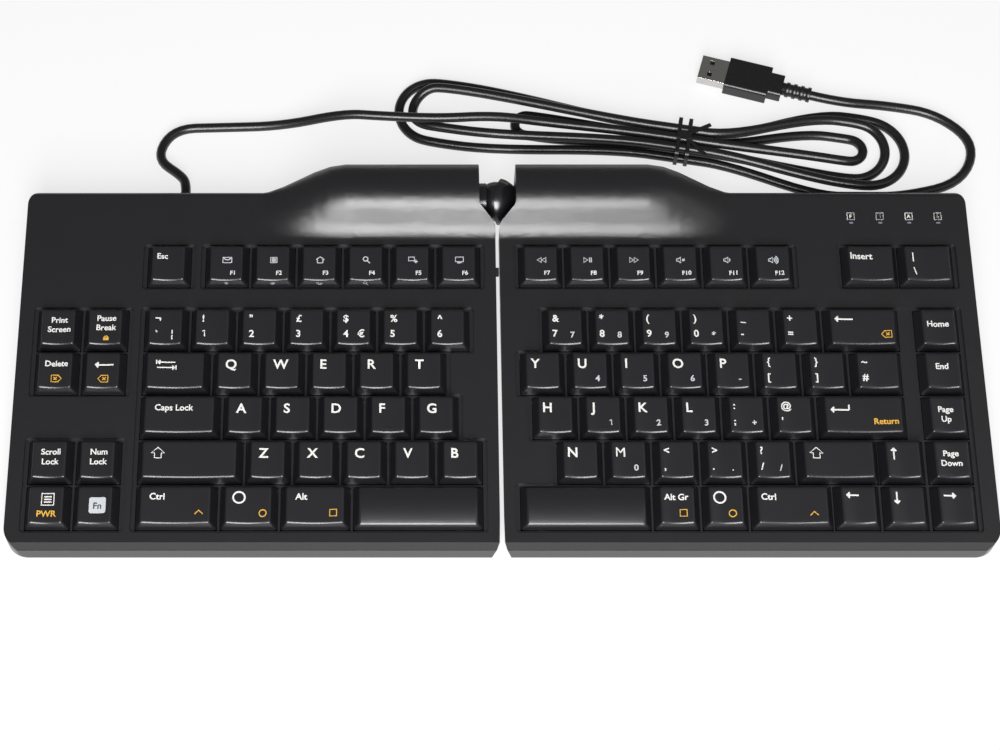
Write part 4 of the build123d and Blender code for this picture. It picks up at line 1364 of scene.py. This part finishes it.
# %% Ball and neck
hump_face = 7.6
wall = 2.3
neck_radius = 5.4
flange_radius = 7.0
collar_radius = 7.8
fit = 0.05
break_size = 0.35
flange_start = -hump_face - wall
neck_angle = 180 - angle_at(ball_radius, neck_radius)
bore_angle = angle_at(ball_radius, bore_radius)
stud_profile = [
    (flange_start - wall, bore_radius), (flange_start - wall, flange_radius),
    (flange_start, flange_radius), (flange_start, neck_radius),
]
stud_profile += arc_points(ball_radius, neck_angle, bore_angle, 40)
stud = finish_mesh(spun(stud_profile, (1, 0, 0), ball_centre), "ball")
piece("ball_and_neck", stud, gloss_plastic, "left_half", ["ball_stud"])
print("ball and neck faces", len(stud.polygons))

# %% Collar
seat = ball_radius + fit
outer_angle = 180 - angle_at(seat, collar_radius - break_size)
inner_angle = 180 - angle_at(seat, neck_radius + fit)
collar_profile = [
    (-hump_face, neck_radius + fit), (-hump_face, collar_radius - break_size),
    (-hump_face + break_size, collar_radius),
]
collar_profile.append((seat * math.cos(math.radians(outer_angle)) - break_size, collar_radius))
collar_profile += arc_points(seat, outer_angle, inner_angle, 8)
collar = finish_mesh(spun(collar_profile, (1, 0, 0), ball_centre), "collar")
piece("joint_collar", collar, gloss_plastic, "left_half", ["left_collar"])
print("collar faces", len(collar.polygons))

# %% Slanted cup
cup_inner = 9.0
cup_outer = 10.0
stub_radius = 6.2
stub_bore = 4.6
lip_offset = 1.7
lip_tilt = math.radians(17.0)
lip_start = 110
lip_break = 0.3
face_outer = math.degrees(math.acos(hump_face / cup_outer))
face_inner = math.degrees(math.acos(hump_face / cup_inner))
cup_profile = arc_points(cup_outer, lip_start, face_outer, 24)
cup_profile += [(hump_face, stub_radius), (hump_face + 2 * wall, stub_radius)]
cup_profile += [(hump_face + 2 * wall, stub_bore), (hump_face, stub_bore)]
cup_profile += arc_points(cup_inner, face_inner, lip_start, 24)
cup = spun(cup_profile, (1, 0, 0), ball_centre)
side_share = math.sin(lip_tilt) * math.sqrt(0.5)
lip_normal = Vector((math.cos(lip_tilt), -side_share, side_share))
bmesh.ops.bisect_plane(
    cup, geom=cup.verts[:] + cup.edges[:] + cup.faces[:], dist=least_width,
    plane_co=(ball_centre + lip_normal * lip_offset) * mm, plane_no=lip_normal, clear_inner=True,
)
open_rims = [edge for edge in cup.edges if edge.is_boundary]
lip_faces = bmesh.ops.bridge_loops(cup, edges=open_rims)["faces"]
lip_edges = {
    edge for face in lip_faces for edge in face.edges
    if len([one for one in edge.link_faces if one in lip_faces]) == 1
}
rounded(cup, list(lip_edges), lip_break * mm, 3)
cup_mesh = finish_mesh(cup, "cup")
piece("joint_cup", cup_mesh, gloss_plastic, "right_half", ["socket_cup"])
print("cup faces", len(cup_mesh.polygons))

# %% [markdown]
# ## Strain relief
# Where the cord leaves the back wall a rubber sleeve keeps it from kinking. The real ones taper,
# with grooves that let them bend, so the profile steps in by a little at each ring.
# %% Tapered sleeve
relief_wall = 73.3
relief_end = 79.3
relief_radius = 3.6
relief_bore = cord_radius + fit
button_radius = 5.2
button_back = relief_wall - 4.6
button_front = relief_wall - 2.8
ring_count = 3
ring_step = 1.8
ring_taper = 0.3


def ring_points(number):
    """One raised ring and the groove behind it."""
    start = relief_wall + 0.6 + number * ring_step
    high = relief_radius + 0.4 - ring_taper * number
    return [
        (start, high - 0.2), (start + 0.2, high), (start + 0.9, high),
        (start + 1.1, high - 0.8), (start + 1.6, high - 0.9),
    ]


sleeve_profile = [
    (button_back, relief_bore), (button_back, button_radius), (button_front, button_radius),
    (button_front, relief_radius), (relief_wall + 0.5, relief_radius),
]
for ring in range(ring_count):
    sleeve_profile += ring_points(ring)
sleeve_profile += [
    (relief_end - 0.3, relief_radius - 0.9), (relief_end, relief_radius - 1.2),
    (relief_end, relief_bore),
]
sleeve = finish_mesh(spun(sleeve_profile, (0, 1, 0), (cord_exit[0], 0, cord_exit[2])), "relief")
piece("tapered_relief", sleeve, rubber, "left_half", ["cable_strain_relief"])
print("sleeve faces", len(sleeve.polygons))

# %% [markdown]
# ## Small moulded pieces
# The plug, its boot and shell, the lever and the tie already have their shapes. Broken edges are
# what they lack, so each gets a merged copy with a bevel of its own size.
# %% Broken edges on small pieces
small_pieces = {
    "plug_mould": (cord_pvc, 0.4, desk_body, "cord_pvc"),
    "plug_boot": (cord_pvc, 0.15, desk_body, "cord_pvc"),
    "plug_shell": (shell_steel, 0.08, desk_body, "shell_steel"),
    "twist_tie": (tie_plastic, 0.12, desk_body, "tie"),
    "lock_lever": (key_plastic, 0.4, "lever", "key_plastic"),
}
for node, (material, width, body, slot) in small_pieces.items():
    small = broken_edges(node, width)
    even_shading(piece(node + "_moulded", small, material, body, [node]))
print("small pieces", len(small_pieces))

# %% [markdown]
# ## Materials of the nodes that stay
# The screws, feet, boards and joint pieces keep their CAD shapes. Each gets its finish by its
# slot; the mesh itself isn't touched.
# %% Finishes on CAD nodes
node_finishes = {
    "feet": rubber,
    "case_screws": screw_steel,
    "switch_plate": base_plastic,
    "dome_sheet": dome_rubber,
    "membrane": film_clear,
}
finish_of = {
    side + "_" + part: material
    for side in ("left", "right") for part, material in node_finishes.items()
}
finish_of |= {
    "friction_liner": liner_nylon,
    "lever_pin": screw_steel,
    "link_cable_left": cord_pvc,
    "link_cable_right": cord_pvc,
    "centre_bumper": rubber,
    "indicator_lights": lens_grey,
    "indicator_board": board_green,
    "controller_board": board_green,
    "plug_tongue": base_plastic,
}
for node, material in finish_of.items():
    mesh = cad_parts[node].data
    mesh.materials.clear()
    mesh.materials.append(material)
print("nodes with a finish", len(finish_of))
